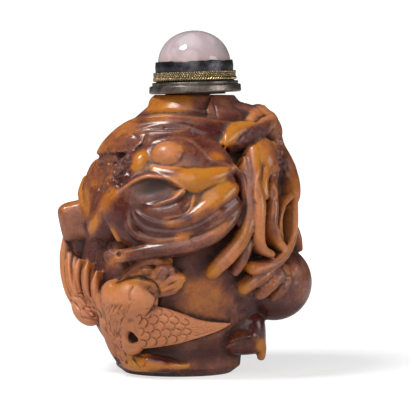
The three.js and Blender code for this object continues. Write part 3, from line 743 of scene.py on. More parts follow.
# chisel strokes over the front, as (path, half width, depth) in mm; a negative depth is a raised line
handCuts = [
    ([(-6.3, 48.4), (-7.1, 46.6), (-8.7, 45)], 0.25, 0.35),
    ([(-10.1, 41.9), (-11.8, 40.3), (-13.4, 38.9)], 0.3, 0.45),
    ([(-13.2, 18.2), (-10.7, 19), (-7.1, 19.1), (-4.9, 18), (-4, 16), (-4.3, 14), (-5.5, 12.2),
      (-7.3, 10.7)], 0.4, 0.6),
    ([(-9.1, 17.6), (-10, 15.8), (-9.7, 14.2)], 0.3, 0.3),
    ([(-9.1, 3), (-8.6, 1.4), (-7.5, 0.5)], 0.3, 0.4),
    ([(-6.7, 2), (-7.1, 0.8)], 0.25, 0.35),
    ([(-8.9, 3.2), (-5.5, 3.4), (-2, 2.6), (1.6, 1.6)], 0.3, 0.5),
    ([(-6.5, 16.6), (-4.5, 18.8), (-3, 21.3)], 0.18, 0.25),
    ([(-5.1, 16.8), (-3, 18.6), (-1.2, 20.5)], 0.18, 0.25),
    ([(-4.3, 16.4), (-2, 17.6), (0.4, 18.8)], 0.18, 0.25),
    ([(-4.1, 15.6), (-1.8, 16.4), (0, 17.2)], 0.16, 0.22),
    ([(-10.1, 19.9), (-7.7, 21.3), (-4.9, 21.7)], 0.18, 0.2),
    ([(-7.3, 52.3), (-3.6, 52.8), (0.4, 52.8), (4.5, 52.4), (7.7, 51.8)], 0.45, 0.5),
    ([(7.9, 51.7), (7.5, 53.7), (6.9, 55.9)], 0.25, 0.3),
]

# loops of small feathers low on the folded wing
featherLoops = [
    [(-22.1, 16.8), (-21.3, 15.4), (-19.9, 15.2), (-18.8, 14.4), (-18.2, 13.2)],
    [(-22.1, 14.8), (-20.9, 13.8), (-20.1, 12.6), (-19.9, 11.3), (-19, 10.3)],
    [(-19.9, 12.4), (-18.8, 13.2), (-17.2, 13), (-16, 12), (-15.6, 10.7)],
    [(-19.7, 11.3), (-18.2, 10.7), (-16.4, 10.5)],
    [(-18.2, 12), (-17.4, 12.3), (-16.8, 11.5), (-17.4, 11), (-18.2, 11.3)],
    [(-20.7, 15.6), (-19.4, 16), (-18.4, 15), (-17.6, 13.6)],
]

# the cuts of the feathers, placed by the wing's or the flank's own (s, t); a cut is (half width, depth)
plumage = {
    "scaleRows": 5, "scalesInRow": 5, "firstScale": (0.06, -0.75), "scaleStep": (0.105, 0.38),
    "scaleHalves": (0.05, 0.24), "scaleSweep": 1.7, "scaleCut": (0.18, 0.4),
    "barbs": 7, "firstBarb": -0.8, "barbStep": 0.27, "barbRun": (0.56, 0.7, 0.84, 0.96),
    "barbCut": (0.16, 0.24),
    "hairs": 6, "firstHair": 0.58, "hairStep": 0.055, "hairRun": (0.03, 0.2), "hairCut": (0.12, 0.14),
    "loopCut": (0.2, 0.42),
    "down": 150, "downAlong": (0.05, 0.9), "downAcross": (-0.95, 0.9), "downReach": (0.06, 0.13),
    "downDrop": 0.06, "downHalfWidth": (0.12, 0.18), "downDepth": (0.14, 0.3),
}

ageCracks = {"at": [(0.3, 0), (0.5, 0.1), (0.7, -0.1)], "run": (0.02, -0.5), "cut": (0.12, 0.12)}


def sheetLine(plan, places):
    # the (across, up) of some places (s, t) of a sheet
    return [tuple(map(float, plan(s, t))) for s, t in places]


def wingStrokes():
    # scales over the root of the wing, then barbs and hairs towards its tip
    wing = sheetPlan(crane["wingLower"], crane["wingUpper"])
    strokes = []
    for row in range(plumage["scaleRows"]):
        t = plumage["firstScale"][1] + plumage["scaleStep"][1] * row
        last = row == plumage["scaleRows"] - 1             # this row is one scale shorter
        for column in range(plumage["scalesInRow"] - last):
            s = plumage["firstScale"][0] + plumage["scaleStep"][0] * (column + 0.5 * (row % 2))
            wide, high = plumage["scaleHalves"]
            turns = np.linspace(-plumage["scaleSweep"], plumage["scaleSweep"], 7)
            arc = [(s + wide * math.cos(turn), t + high * math.sin(turn)) for turn in turns]
            strokes.append((sheetLine(wing, arc), *plumage["scaleCut"]))
    for i in range(plumage["barbs"]):
        t = plumage["firstBarb"] + plumage["barbStep"] * i
        barb = [(s, t * (1 - 0.1 * s)) for s in plumage["barbRun"]]
        strokes.append((sheetLine(wing, barb), *plumage["barbCut"]))
        for j in range(plumage["hairs"]):
            s = plumage["firstHair"] + plumage["hairStep"] * j
            hair = [(s, t), (s + plumage["hairRun"][0], t + plumage["hairRun"][1])]
            strokes.append((sheetLine(wing, hair), *plumage["hairCut"]))
    return strokes


def downStrokes():
    # the fine down of the flank
    flank = sheetPlan(crane["flankLeft"], crane["flankRight"])
    random.seed(4)
    strokes = []
    for _ in range(plumage["down"]):
        s = random.uniform(*plumage["downAlong"])
        t = random.uniform(*plumage["downAcross"])
        reach = random.uniform(*plumage["downReach"])
        path = sheetLine(flank, [(s, t), (s + reach, t - plumage["downDrop"])])
        halfWidth = random.uniform(*plumage["downHalfWidth"])
        strokes.append((path, halfWidth, random.uniform(*plumage["downDepth"])))
    return strokes


def crackStrokes():
    # cracks of age in the shoulder leaf
    leaf = sheetPlan(foliage["leafLower"], foliage["leafUpper"])
    run = ageCracks["run"]
    return [(sheetLine(leaf, [(s, t), (s + run[0], t + run[1])]), *ageCracks["cut"])
            for s, t in ageCracks["at"]]


def engravedStrokes():
    raised = [(points, halfWidth, -height) for points, halfWidth, height, _, _ in edgeLinesAndPaintedHighlights]
    looped = [(points, *plumage["loopCut"]) for points in featherLoops]
    return raised + handCuts + wingStrokes() + looped + downStrokes() + crackStrokes()


def alongPath(at, usable, points, reach):
    # the usable places within reach of a path, how far they are from it and how far along it
    path, _ = smoothPath(points, count=8 + 6 * len(points))
    low, high = path.min(axis=0) - reach, path.max(axis=0) + reach
    near = np.where(((at > low) & (at < high)).all(axis=1) & usable)[0]
    run = path[1:] - path[:-1]
    offset = at[near][:, None] - path[:-1]
    share = np.clip((offset * run).sum(axis=2) / np.maximum((run**2).sum(axis=1), 1e-9), 0, 1)
    distance = np.linalg.norm(offset - share[..., None] * run, axis=2)
    row, segment = np.arange(len(near)), distance.argmin(axis=1)
    return near, distance[row, segment], (segment + share[row, segment]) / len(run)


def facingCamera(co, normals):
    sight = eye - co
    return (normals * sight).sum(axis=1) / np.linalg.norm(sight, axis=1)


strokeShape = {
    "reach": 2.6,                    # half widths beyond which a stroke cuts nothing
    "tipDepth": 0.25, "taper": 5,    # the share of the depth at a stroke's ends, and how fast it deepens
    "facing": 0.1, "facingFade": 0.25,
}


def chisel(co, normals, strokes):
    at = layoutOf(co)
    weight = np.clip((facingCamera(co, normals) - strokeShape["facing"]) / strokeShape["facingFade"], 0, 1)
    moved = np.zeros(len(co))
    for points, halfWidth, depth in strokes:
        near, distance, s = alongPath(at, weight > 0, points, strokeShape["reach"] * halfWidth)
        taper = np.clip(np.minimum(s, 1 - s) * strokeShape["taper"] + strokeShape["tipDepth"], 0, 1)
        cut = depth * taper * np.exp(-((distance / halfWidth) ** 2))
        moved[near] = np.where(np.abs(cut) > np.abs(moved[near]), cut, moved[near])
    return co - normals * (moved * weight)[:, None]


# thin edges painted pale as painted highlights, partly the polish of handling, and the cuts between
# feathers, as (path, half width, height, finish, strength)
edgeLinesAndPaintedHighlights = [
    ([(-12.4, 36.5), (-10.3, 37.9), (-8.3, 39.1), (-6.3, 39.8), (-4.1, 39.7), (-1.6, 39.3),
      (1, 37.5)], 0.28, 0.35, "pale", 0.9),
    ([(1.2, 37.3), (0, 35.9), (-1.6, 35), (-4.7, 34)], 0.26, 0.3, "pale", 0.8),
    ([(-3, 31.2), (0.8, 32), (2.6, 33.4), (3.2, 36.1)], 0.2, 0.2, "pale", 0.6),
    ([(5.1, 45.2), (6.9, 43.2), (9.5, 42.3), (12.2, 41.3), (13.2, 39.9), (13.8, 37.1), (14.2, 33),
      (13.6, 30)], 0.2, 0.2, "mauve", 0.8),
    ([(-7.7, 48.6), (-5.7, 49.1), (-0.6, 49), (2.4, 49.5)], 0.2, 0.2, "russet", 0.8),
    ([(-6.5, 46.4), (-3.6, 47.2), (-0.6, 47.7), (2.4, 47.2), (5.1, 45.2)], 0.22, 0.15, "russet", 0.7),
    ([(23.1, 34.4), (21.3, 32.6), (20.6, 30), (20.6, 27.4)], 0.22, 0.15, "peach", 0.8),
    ([(24.1, 36.3), (24.2, 33), (24.1, 30.2), (22.9, 26.9), (21.3, 24.3), (19, 22.1),
      (16.2, 20.5)], 0.3, 0.12, "pale", 0.8),
    ([(20.3, 21.3), (17.2, 19), (14.6, 16.8)], 0.22, 0.1, "peach", 0.7),
    ([(16.5, 41.1), (16, 39.1), (15.7, 37.1), (15.8, 35.3), (16.6, 34)], 0.2, 0.25, "pale", 0.8),
    ([(19, 38.3), (19.8, 37.3), (20, 35.9), (19.2, 34.4)], 0.2, 0.2, "pale", 0.6),
    ([(-8.9, 25.7), (-5.7, 26.1), (-2, 26.9), (0.8, 27.4)], 0.22, 0.1, "peach", 0.6),
    ([(-21.3, 24.1), (-21.5, 21.3), (-21, 18.4), (-19.9, 15.4)], 0.26, -0.3, "redBrown", 0.6),
    ([(-22.6, 23.7), (-22.7, 20.9), (-22.3, 18), (-21.3, 15.4)], 0.24, -0.25, "russet", 0.5),
    ([(-19.4, 22.1), (-19.7, 19.2), (-19.3, 16.6), (-18.2, 14.2)], 0.26, -0.3, "redBrown", 0.6),
    ([(-17.6, 21.1), (-17.8, 18), (-17.5, 15.2), (-16.4, 12.6)], 0.26, -0.3, "redBrown", 0.6),
    ([(-15.6, 18.8), (-15.9, 15.2), (-15, 11.5)], 0.28, -0.25, "redBrown", 0.6),
]


# clouds in the amber of the front, some of them painted light and shade as marked,
# as (at, half sizes, spin, finish, strength)
cloudsAndPaintedLight = [
    ((-2, 54.5), (5.67, 2.43), 0, "gold", 0.9),
    ((6.5, 54.5), (3.44, 2.03), 0, "redBrown", 0.7),
    ((-22.7, 34.4), (2.43, 1.01), -8, "gold", 0.8),
    ((-21.9, 30.6), (1.82, 2.23), 0, "redBrown", 0.5),
    # painted sheen, this line and the next: greyish pink reflection along the right citron's outer edge
    ((22.7, 41.5), (1.22, 6.48), -10, "feather", 0.55),
    ((24.1, 32.6), (0.61, 4.86), 0, "feather", 0.6),
    # painted sheen: grey-lilac reflection along the pomegranate's right edge
    ((26.1, 19.2), (1.42, 6.08), 0, "mauve", 0.9),
    ((-13.4, 17.2), (1.82, 0.81), 15, "gold", 0.7),
    ((-18.2, 21.1), (0.61, 1.62), 0, "gold", 0.7),
    ((-16.4, 18.4), (0.61, 1.82), 0, "gold", 0.7),
    ((5.3, 34.4), (2.84, 1.22), 40, "gold", 0.8),
    ((-1.2, 40.7), (2.84, 0.81), 8, "redBrown", 0.8),
    ((21.5, 36.7), (1.62, 1.42), -20, "gold", 0.9),
    ((22.1, 31), (1.01, 3.24), 0, "mauve", 0.8),
    # painted light, this line and the next: the left-facing feathers lightened where the lamps leave them
    # dim
    ((-21.5, 19.9), (2.03, 4.86), 0, "pale", 0.35),
    ((-18.8, 12.8), (2.43, 2.43), 0, "pale", 0.35),
    ((-6.1, 20.9), (3.24, 1.42), 5, "russet", 0.7),
    ((-2.2, 17.2), (2.84, 1.62), 0, "honey", 0.5),
    ((-11.3, 47.8), (3.65, 1.22), 40, "russet", 0.7),
    ((8.9, 54.5), (4.86, 2.43), 0, "mauve", 0.8),
    ((-3.6, 51.5), (3.04, 1.01), 0, "honey", 0.9),
    ((-15, 45.8), (2.43, 1.01), 40, "honey", 0.8),
    ((-11.3, 49.8), (4.05, 1.01), 40, "honey", 0.7),
    ((4.5, 49.2), (5.27, 2.23), 0, "clearBrown", 0.9),
    ((4.5, 51.4), (5.27, 0.71), -3, "russet", 0.8),
    ((-1.8, 43.8), (3.24, 2.63), 0, "peach", 1.0),
    ((-7.5, 42.7), (1.82, 2.43), -25, "gold", 1.0),
    ((2.8, 43.6), (2.84, 1.82), 0, "clearBrown", 1.0),
    ((5.1, 39.3), (6.48, 2.03), 10, "gold", 1.0),
    ((7.1, 35.5), (5.67, 2.03), 25, "gold", 1.0),
    ((0, 30.2), (2.84, 1.01), 0, "gold", 0.6),
    ((5.5, 32.4), (3.24, 1.22), 25, "honey", 0.7),
    ((1.2, 27.4), (2.03, 1.22), 10, "gold", 0.9),
    ((7.7, 28.8), (3.65, 1.42), 38, "peach", 0.75),
    ((2.4, 26.1), (6.08, 1.22), 12, "mauve", 0.7),
    ((-6.1, 36.9), (6.08, 2.03), 5, "redBrown", 0.9),
    ((0, 37.1), (1.82, 1.42), 20, "gold", 0.9),
    ((9.3, 32.2), (3.24, 1.01), 35, "mauve", 0.6),
    ((-5.7, 25.3), (5.07, 1.42), 8, "redBrown", 0.8),
    ((-13, 23.5), (2.23, 1.82), 0, "peach", 1.0),
    ((-13.8, 23.1), (1.22, 1.22), 0, "gold", 0.6),
    ((11.1, 39.9), (1.42, 1.62), 0, "clearBrown", 0.7),
    ((-14.2, 35), (1.22, 3.24), -25, "gold", 0.6),
    ((-17, 29.8), (1.01, 2.43), -25, "gold", 0.8),
    ((-15.2, 29.4), (1.22, 3.65), -20, "clearBrown", 0.5),
    ((12.2, 49), (3.04, 1.62), 38, "gold", 1.0),
    ((16.2, 52.1), (1.82, 1.62), 0, "peach", 0.9),
    ((7.7, 43.8), (1.42, 0.81), 0, "gold", 0.7),
    ((16.2, 43.2), (1.01, 4.46), 0, "gold", 0.9),
    ((17.8, 39.1), (1.22, 5.27), 0, "gold", 0.8),
    ((14.4, 38.1), (1.22, 6.48), 0, "mauve", 0.95),
    ((17, 30.6), (1.82, 5.27), 0, "peach", 0.8),
    ((14.8, 31.8), (1.01, 3.65), 10, "mauve", 0.6),
    ((22.7, 38.3), (2.23, 3.04), 0, "honey", 0.9),
    ((17.8, 52.7), (3.04, 1.62), 0, "peach", 0.8),
    ((19.9, 49.2), (1.42, 2.43), 0, "peach", 0.6),
    ((15, 48.4), (3.85, 1.32), 33, "ground", 1.0),
    # painted sheen: greyish reflection on the right citron's outer lobes
    ((21.3, 44.8), (1.42, 4.05), 0, "mauve", 0.9),
    ((22.9, 33.8), (2.03, 4.46), 0, "peach", 0.5),
    # painted light: the lower feathers lightened where the lamps leave them dim
    ((-18.8, 13.8), (4.86, 4.86), 0, "pale", 0.8),
    ((-13.4, 6.7), (2.84, 6.08), 10, "pale", 0.7),
    ((0.4, 9.7), (8.91, 3.65), 0, "pale", 0.4),
    ((21.5, 42.7), (1.01, 3.24), 0, "clearBrown", 0.8),
    ((19.7, 37.1), (1.01, 4.05), 0, "russet", 0.8),
    ((22.1, 30.6), (1.01, 2.84), -10, "honey", 0.7),
    ((15.2, 21.1), (2.43, 1.42), 0, "gold", 0.8),
    ((21.1, 25.5), (1.01, 1.01), 0, "peach", 0.9),
    ((19.7, 23.5), (1.22, 0.81), 0, "peach", 0.8),
    ((17.8, 17.8), (4.86, 2.03), 35, "mauve", 0.5),
    ((9.7, 23.3), (4.05, 1.82), 50, "peach", 0.9),
    ((7.1, 20.1), (1.82, 1.62), 50, "gold", 0.8),
    ((6.1, 15.4), (5.67, 4.05), 0, "russet", 0.9),
    ((5.7, 15.6), (3.65, 2.43), 0, "honey", 0.8),
    ((-12.2, 24.9), (1.42, 1.01), 0, "mauve", 0.6),
    ((-21.3, 30.6), (3.04, 2.43), 0, "mauve", 0.8),
    ((20.7, 18.4), (6.08, 5.67), 0, "mauve", 0.5),
    ((17, 12.8), (4.46, 1.62), 0, "cherry", 1.0),
    ((17, 5.3), (1.01, 1.42), 0, "gold", 0.9),
    ((19.7, 37.9), (6.08, 8.1), 0, "honey", 0.3),
    ((13.2, 16.6), (1.22, 1.22), 0, "gold", 0.9),
    ((18.6, 17.6), (2.43, 1.82), 45, "honey", 0.7),
    ((-18.8, 34.4), (1.01, 3.24), 0, "honey", 0.9),
    ((-17.8, 39.1), (1.62, 1.82), 0, "russet", 0.6),
    ((-22.3, 34), (2.03, 1.22), 30, "honey", 0.9),
    # painted shade: the deep recess under the citron made dark and matte
    ((-15.8, 25.3), (3.04, 3.44), 0, "ground", 0.9),
    ((-11.3, 42.5), (1.82, 2.63), -25, "ground", 1.0),
    ((-15.8, 40.7), (2.84, 3.24), -25, "russet", 0.7),
    ((-5.3, 22.3), (3.65, 0.81), 0, "russet", 0.9),
    ((-2.4, 20.3), (2.23, 1.42), 25, "mauve", 0.9),
    ((1.2, 18.6), (1.01, 1.42), 0, "gold", 0.8),
    ((-9.7, 18.2), (4.46, 0.81), 0, "gold", 0.6),
    ((-12.6, 1.6), (1.01, 1.82), 30, "cherry", 0.9),
    ((-3.6, 1.8), (5.27, 1.22), -3, "gold", 0.7),
    ((1.4, 3.6), (8.1, 1.82), 5, "cherry", 0.9),
    # painted shade: the dark contact band along the foot's lower edge
    ((1.4, -0.2), (8.1, 0.81), 0, "cherry", 0.9),
]


painting = {
    # where the front's clouds give way to mottling, on what the camera doesn't see
    "facing": -0.25, "facingFade": 0.3, "depthFade": 6,
    "mottlingSize": 8, "mottling": 0.9, "mottlingLift": 0.05,
    "cloudFade": 0.5, "rimSpread": 1.2,
    # rounds of softening before and after the clouds
    "formBlur": 5, "cloudBlur": 3,
}


def paintCloudsAndPaintedLight(co, normals, paint):
    at = layoutOf(co)
    facing = np.clip((facingCamera(co, normals) - painting["facing"]) / painting["facingFade"], 0, 1)
    frontal = facing * np.clip(1 - co[:, 1] / painting["depthFade"], 0, 1)
    mottling = np.array([noise.noise(Vector(p) / painting["mottlingSize"]) for p in co])
    shift = painting["mottling"] * (1 - frontal) * (mottling + painting["mottlingLift"])
    paint[:, 0] = np.clip(paint[:, 0] + shift, 0, 1)
    for centre, halves, spin, finish, strength in cloudsAndPaintedLight:
        weight = strength * frontal * ovalWeight(at, centre, halves, spin, fade=painting["cloudFade"])
        paint += (np.array(finishes[finish]) - paint) * weight[:, None]
    # the thin edges' paint, mostly painted highlights
    for points, halfWidth, _, finish, strength in edgeLinesAndPaintedHighlights:
        near, distance, _ = alongPath(at, frontal > 0.5, points, strokeShape["reach"] * halfWidth)
        weight = strength * np.exp(-((distance / halfWidth / painting["rimSpread"]) ** 2))
        paint[near] += (np.array(finishes[finish]) - paint[near]) * weight[:, None]
    return paint


def neighbourMean(mesh, values, rounds):
    # values at the vertices, each drawn half way to its neighbours' mean in every round
    a, b = readEdges(mesh).T
    count = linkCount(a, b, len(values))
    for _ in range(rounds):
        values = 0.5 * values + 0.5 * linkTotal(a, b, values) / count
    return values


def readNormals(mesh):
    normals = np.empty(len(mesh.vertices) * 3)
    mesh.vertices.foreach_get("normal", normals)
    return normals.reshape(-1, 3)


def addAttribute(mesh, name, values):
    layer = mesh.attributes.get(name) or mesh.attributes.new(name, "FLOAT", "POINT")
    layer.data.foreach_set("value", np.ascontiguousarray(values, dtype=np.float32))


def carveBottle():
    addBlank()
    addFrontCitron()
    addRightCitron()
    addPomegranate()
    addCrane()
    addFoliage()
    addRear()
    print("blocked out", len(forms), "forms")
    bottle = joinObjects(forms, "carved_bottle")
    co = readCo(bottle.data)
    polygons = [tuple(p.vertices) for p in bottle.data.polygons]
    formTree = BVHTree.FromPolygons([tuple(p) for p in co], polygons)
    vertexFinish = np.empty(len(co), dtype=np.int32)
    bottle.data.attributes["finish"].data.foreach_get("value", vertexFinish)
    formFinish = np.array([vertexFinish[p[0]] for p in polygons])
    bottle.data.attributes.remove(bottle.data.attributes["finish"])
    applyModifier(bottle, "REMESH", mode="VOXEL", voxel_size=carving["voxel"] * mm, adaptivity=0)
    print("one solid of", len(bottle.data.polygons), "faces")
    applyModifier(bottle, "SMOOTH", factor=carving["smoothingFactor"], iterations=carving["smoothing"])
    cutters = [addCavity()]
    for at, halves, spin in pits:
        cutter = addSphere(24, 16)
        placeBoss(cutter, at, halves, front, spin)
        cutters.append(cutter)
    cutter = joinObjects(cutters, "cutter")
    applyModifier(bottle, "BOOLEAN", operation="DIFFERENCE", object=cutter, solver="MANIFOLD")
    bpy.data.objects.remove(cutter)
    applyModifier(bottle,
                  "SMOOTH", factor=carving["smoothingFactor"], iterations=carving["smoothingAfterBoring"])
    easeForms(bottle.data)
    print("hollowed and eased")
    co = readCo(bottle.data)
    normals = readNormals(bottle.data)
    co = chisel(roughen(co / mm, normals), normals, engravedStrokes()) * mm
    co[:, 2] = np.clip(co[:, 2], 0, blank["lip"] * mm)         # the foot ground flat, the lip level
    writeCo(bottle.data, co)
    applyModifier(bottle, "TRIANGULATE")
    applyModifier(bottle, "DECIMATE", ratio=min(1, carving["triangles"] / len(bottle.data.polygons)))
    print("thinned to", len(bottle.data.polygons), "triangles")
    finishBottle(bottle, formTree, formFinish)
    return bottle


def finishBottle(bottle, formTree, formFinish):
    mesh = bottle.data
    co, normals = readCo(mesh), readNormals(mesh)
    nearest = np.array([formTree.find_nearest(Vector(p))[2] for p in co])
    paint = np.array([finishes[name] for name in finishNames])[formFinish[nearest]]
    paint = neighbourMean(mesh, paint, painting["formBlur"])
    paint = paintCloudsAndPaintedLight(co / mm, normals, paint)
    paint = neighbourMean(mesh, paint, painting["cloudBlur"])
    for i, name in enumerate(("tone", "chalkAndSheen", "matte")):
        addAttribute(mesh, name, paint[:, i])
    # how hollow each place is at three sizes; the amber darkens by it: grime in the crevices, painted shade
    # in the deep valleys
    groove = np.zeros(len(co))
    for rounds, depth, strength in carving["hollows"]:
        softened = neighbourMean(mesh, co, rounds)
        groove += np.clip(((softened - co) * normals).sum(axis=1) / (depth * mm), -1, 1) * strength
    addAttribute(mesh, "groove", neighbourMean(mesh, groove[:, None], 1)[:, 0])
    onlySelect(bottle)
    bpy.ops.object.shade_smooth()


# the stopper, built in its own frame on the seat and then set on the neck with its slight lean
stopper = {
    "at": (3.5, 0.0, 56.7), "lean": -2.0,
    "flangeRadius": 9.3, "flangeTop": 1.5, "stepRadius": 8.7, "stepTop": 2.25, "edge": 0.28,
    "bezelOuter": 7.8, "bezelInner": 7.45, "bezelFloor": 1.4, "bezelTop": 6.4, "ragged": 0.07,
    "stoneRadius": 7.3, "stoneBase": 1.8, "stoneShoulder": 6.0, "stoneTop": 12.55,
    "corkRadius": 2.9, "corkTaper": 0.3, "corkLength": 6.0, "corkRounding": 0.25,
}
braid = {
    "radius": 8.12, "ropeAt": 2.86, "ropeTwist": 0.17, "ropeWire": 0.21, "turns": 46,
    "grain": 0.235, "grainsRound": 108, "grainRows": (3.36, 3.72, 4.07), "proudOver": 0.22,
}

seat = Matrix.Translation(stopper["at"]) @ Matrix.Rotation(math.radians(stopper["lean"]), 4, "Y")


def filleted(points, radius, steps=5):
    # the profile's corners rounded off by short arcs
    p = [np.array(q, dtype=float) for q in points]
    out = [p[0]]
    for a, b, c in zip(p, p[1:], p[2:]):
        into, away = b - a, c - b
        cut = min(radius, 0.45 * np.linalg.norm(into), 0.45 * np.linalg.norm(away))
        start, end = b - into / np.linalg.norm(into) * cut, b + away / np.linalg.norm(away) * cut
        for t in np.linspace(0, 1, steps):
            out.append((1 - t) ** 2 * start + 2 * t * (1 - t) * b + t**2 * end)
    return out + [p[-1]]


def addTurned(profile, segments=128):
    # a turned piece: the rings of a sphere are moved to a profile of (radius, height) from pole to pole
    rings = len(profile) - 1
    piece = addSphere(segments, rings)
    co = readCo(piece.data)
    ring = np.rint(np.arccos(np.clip(-co[:, 2], -1, 1)) / math.pi * rings).astype(int)
    radius, height = np.array(profile, dtype=float)[ring].T
    turn = np.arctan2(co[:, 1], co[:, 0])
    writeCo(piece.data, np.stack([radius * np.cos(turn), radius * np.sin(turn), height], axis=-1))
    return piece


def seatPiece(piece, name):
    piece.data.transform(Matrix.Scale(mm, 4) @ seat)
    piece.name = name
    piece.data.name = name
    onlySelect(piece)
    bpy.ops.object.shade_smooth_by_angle(angle=math.radians(40))
    return piece


def addHeightMask(piece, name, low, high):
    z = readCo(piece.data)[:, 2]
    addAttribute(piece.data, name, np.clip((z - low) / (high - low), 0, 1))


def addMount():
    s = stopper
    outline = [
        (s["flangeRadius"] - 0.25, 0.0), (s["flangeRadius"], 0.3),
        (s["flangeRadius"] - 0.08, s["flangeTop"]),
        (s["stepRadius"] + 0.1, s["flangeTop"] + 0.12), (s["stepRadius"] - 0.12, s["flangeTop"] + 0.2),
        (s["stepRadius"], s["flangeTop"] + 0.42), (s["stepRadius"] - 0.05, s["stepTop"]),
        (s["bezelOuter"], s["stepTop"] + 0.08), (s["bezelOuter"] + 0.02, 4.6), (s["bezelOuter"] + 0.1, 5.4),
        (s["bezelOuter"] - 0.02, s["bezelTop"]), (s["bezelInner"], s["bezelTop"] - 0.04),
        (s["bezelInner"], s["bezelFloor"]),
    ]
    turned = filleted([(3.6, 0.0)] + outline + [(3.0, s["bezelFloor"])], s["edge"])
    mount = addTurned([(0, 0)] + turned + [(0, s["bezelFloor"])], 192)
    co = readCo(mount.data)
    turn = np.arctan2(co[:, 1], co[:, 0])
    rim = np.clip((co[:, 2] - 4.8) / 1.4, 0, 1)
    wave = np.sin(5 * turn + 1) + 0.7 * np.sin(11 * turn) + 0.5 * np.sin(23 * turn + 2)
    co[:, 2] += s["ragged"] * rim * wave
    radius = np.hypot(co[:, 0], co[:, 1])
    dent = 0.035 * np.sin(7 * turn + 0.8 * co[:, 2]) + 0.025 * np.sin(17 * turn - 2 * co[:, 2])
    co[:, :2] *= (1 + np.where(radius > 7, dent / np.maximum(radius, 1), 0))[:, None]
    writeCo(mount.data, co)
    addHeightMask(mount, "above", 2.2, 2.6)
    return seatPiece(mount, "silver_mount")


def addRope(phase):
    b = braid
    bpy.ops.object.select_all(action="DESELECT")
    bpy.ops.mesh.primitive_torus_add(major_segments=552, minor_segments=8, major_radius=8, minor_radius=1)
    rope = bpy.context.object
    co = readCo(rope.data)
    turn = np.arctan2(co[:, 1], co[:, 0])
    minor = np.arctan2(co[:, 2], np.hypot(co[:, 0], co[:, 1]) - 8)
    twist = b["turns"] * turn + phase
    radius = b["radius"] + b["ropeTwist"] * np.cos(twist) + b["ropeWire"] * np.cos(minor)
    z = b["ropeAt"] + b["ropeTwist"] * np.sin(twist) + b["ropeWire"] * np.sin(minor)
    writeCo(rope.data, np.stack([radius * np.cos(turn), radius * np.sin(turn), z], axis=-1))
    return rope


def addBraid():
    b = braid
    s = stopper
    band = [(s["bezelOuter"] + 0.12, 2.5), (s["bezelOuter"] + 0.3, 2.6), (s["bezelOuter"] + 0.26, 4.2),
            (s["bezelOuter"] + 0.12, 4.28)]
    bpy.ops.object.select_all(action="DESELECT")
    bpy.ops.mesh.primitive_torus_add(major_segments=128, minor_segments=4, major_radius=8, minor_radius=1)
    ring = bpy.context.object
    co = readCo(ring.data)
    turn = np.arctan2(co[:, 1], co[:, 0])
    minor = np.arctan2(co[:, 2], np.hypot(co[:, 0], co[:, 1]) - 8) % (2 * math.pi)
    side = np.rint(minor / (math.pi / 2)).astype(int) % 4
    radius, z = np.array([band[1], band[2], band[3], band[0]])[side].T
    writeCo(ring.data, np.stack([radius * np.cos(turn), radius * np.sin(turn), z], axis=-1))
    pieces = [ring, addRope(0), addRope(math.pi)]
    random.seed(7)
    bpy.ops.mesh.primitive_ico_sphere_add(subdivisions=2, radius=b["grain"])
    grain = bpy.context.object
    for row, height in enumerate(b["grainRows"]):
        for i in range(b["grainsRound"]):
            turn = 2 * math.pi * (i + 0.5 * (row % 2)) / b["grainsRound"]
            radius = b["radius"] - 0.02 + random.uniform(-0.04, 0.04)
            z = height + random.uniform(-0.03, 0.03)
            at = Vector((radius * math.cos(turn), radius * math.sin(turn), z))
            copied = grain.copy()
            copied.data = grain.data.copy()
            copied.data.transform(Matrix.Translation(at) @ Matrix.Scale(random.uniform(0.85, 1.1), 4))
            bpy.context.collection.objects.link(copied)
            pieces.append(copied)
    bpy.data.objects.remove(grain)
    gilt = joinObjects(pieces, "gilt_braid")
    co = readCo(gilt.data)
    proud = (np.hypot(co[:, 0], co[:, 1]) - b["radius"]) / b["proudOver"]
    addAttribute(gilt.data, "proud", np.clip(proud, 0, 1))
    return seatPiece(gilt, "gilt_braid")


def addStone():
    s = stopper
    dome = [(0, s["stoneBase"]), (3, s["stoneBase"]), (6.2, s["stoneBase"] + 0.1),
            (7.0, s["stoneBase"] + 0.9),
            (7.2, 3.4), (7.25, 4.8)]
    for turn in np.linspace(0, math.pi / 2, 34):
        rise = math.sin(turn)
        height = s["stoneShoulder"] + (s["stoneTop"] - s["stoneShoulder"]) * rise
        dome.append((s["stoneRadius"] * math.cos(turn) ** 0.97, height))
    dome[-1] = (0, s["stoneTop"])
    stone = addTurned(dome, 128)
    addHeightMask(stone, "above", s["bezelTop"] - 0.5, s["bezelTop"] + 2.6)
    return seatPiece(stone, "rose_quartz_dome")


def addCork():
    s = stopper
    profile = [(0, -s["corkLength"]), (1.4, -s["corkLength"])]
    for t in np.linspace(0, 1, 24):
        radius = s["corkRadius"] - s["corkTaper"] * (1 - t) - s["corkRounding"] * (1 - t) ** 8
        profile.append((radius, -s["corkLength"] + 0.1 + t * (s["corkLength"] - 0.5)))
    profile += [(3.4, -0.36), (6.0, -0.34), (6.15, -0.2), (6.0, -0.06), (0, -0.05)]
    cork = addTurned(profile, 72)
    co = readCo(cork.data)
    turn = np.arctan2(co[:, 1], co[:, 0])
    dent = 0.05 * np.sin(9 * turn + 3 * co[:, 2]) * np.sin(4 * co[:, 2] + 5 * turn)
    co[:, :2] *= (1 + dent / 3)[:, None]
    writeCo(cork.data, co)
    return seatPiece(cork, "cork_plug")


def newMaterial(name):
    material = bpy.data.materials.new(name)
    material.use_nodes = True
    return material, material.node_tree, material.node_tree.nodes["Principled BSDF"]


def addNode(tree, kind, **settings):
    node = tree.nodes.new(kind)
    for key, value in settings.items():
        setattr(node, key, value)
    return node


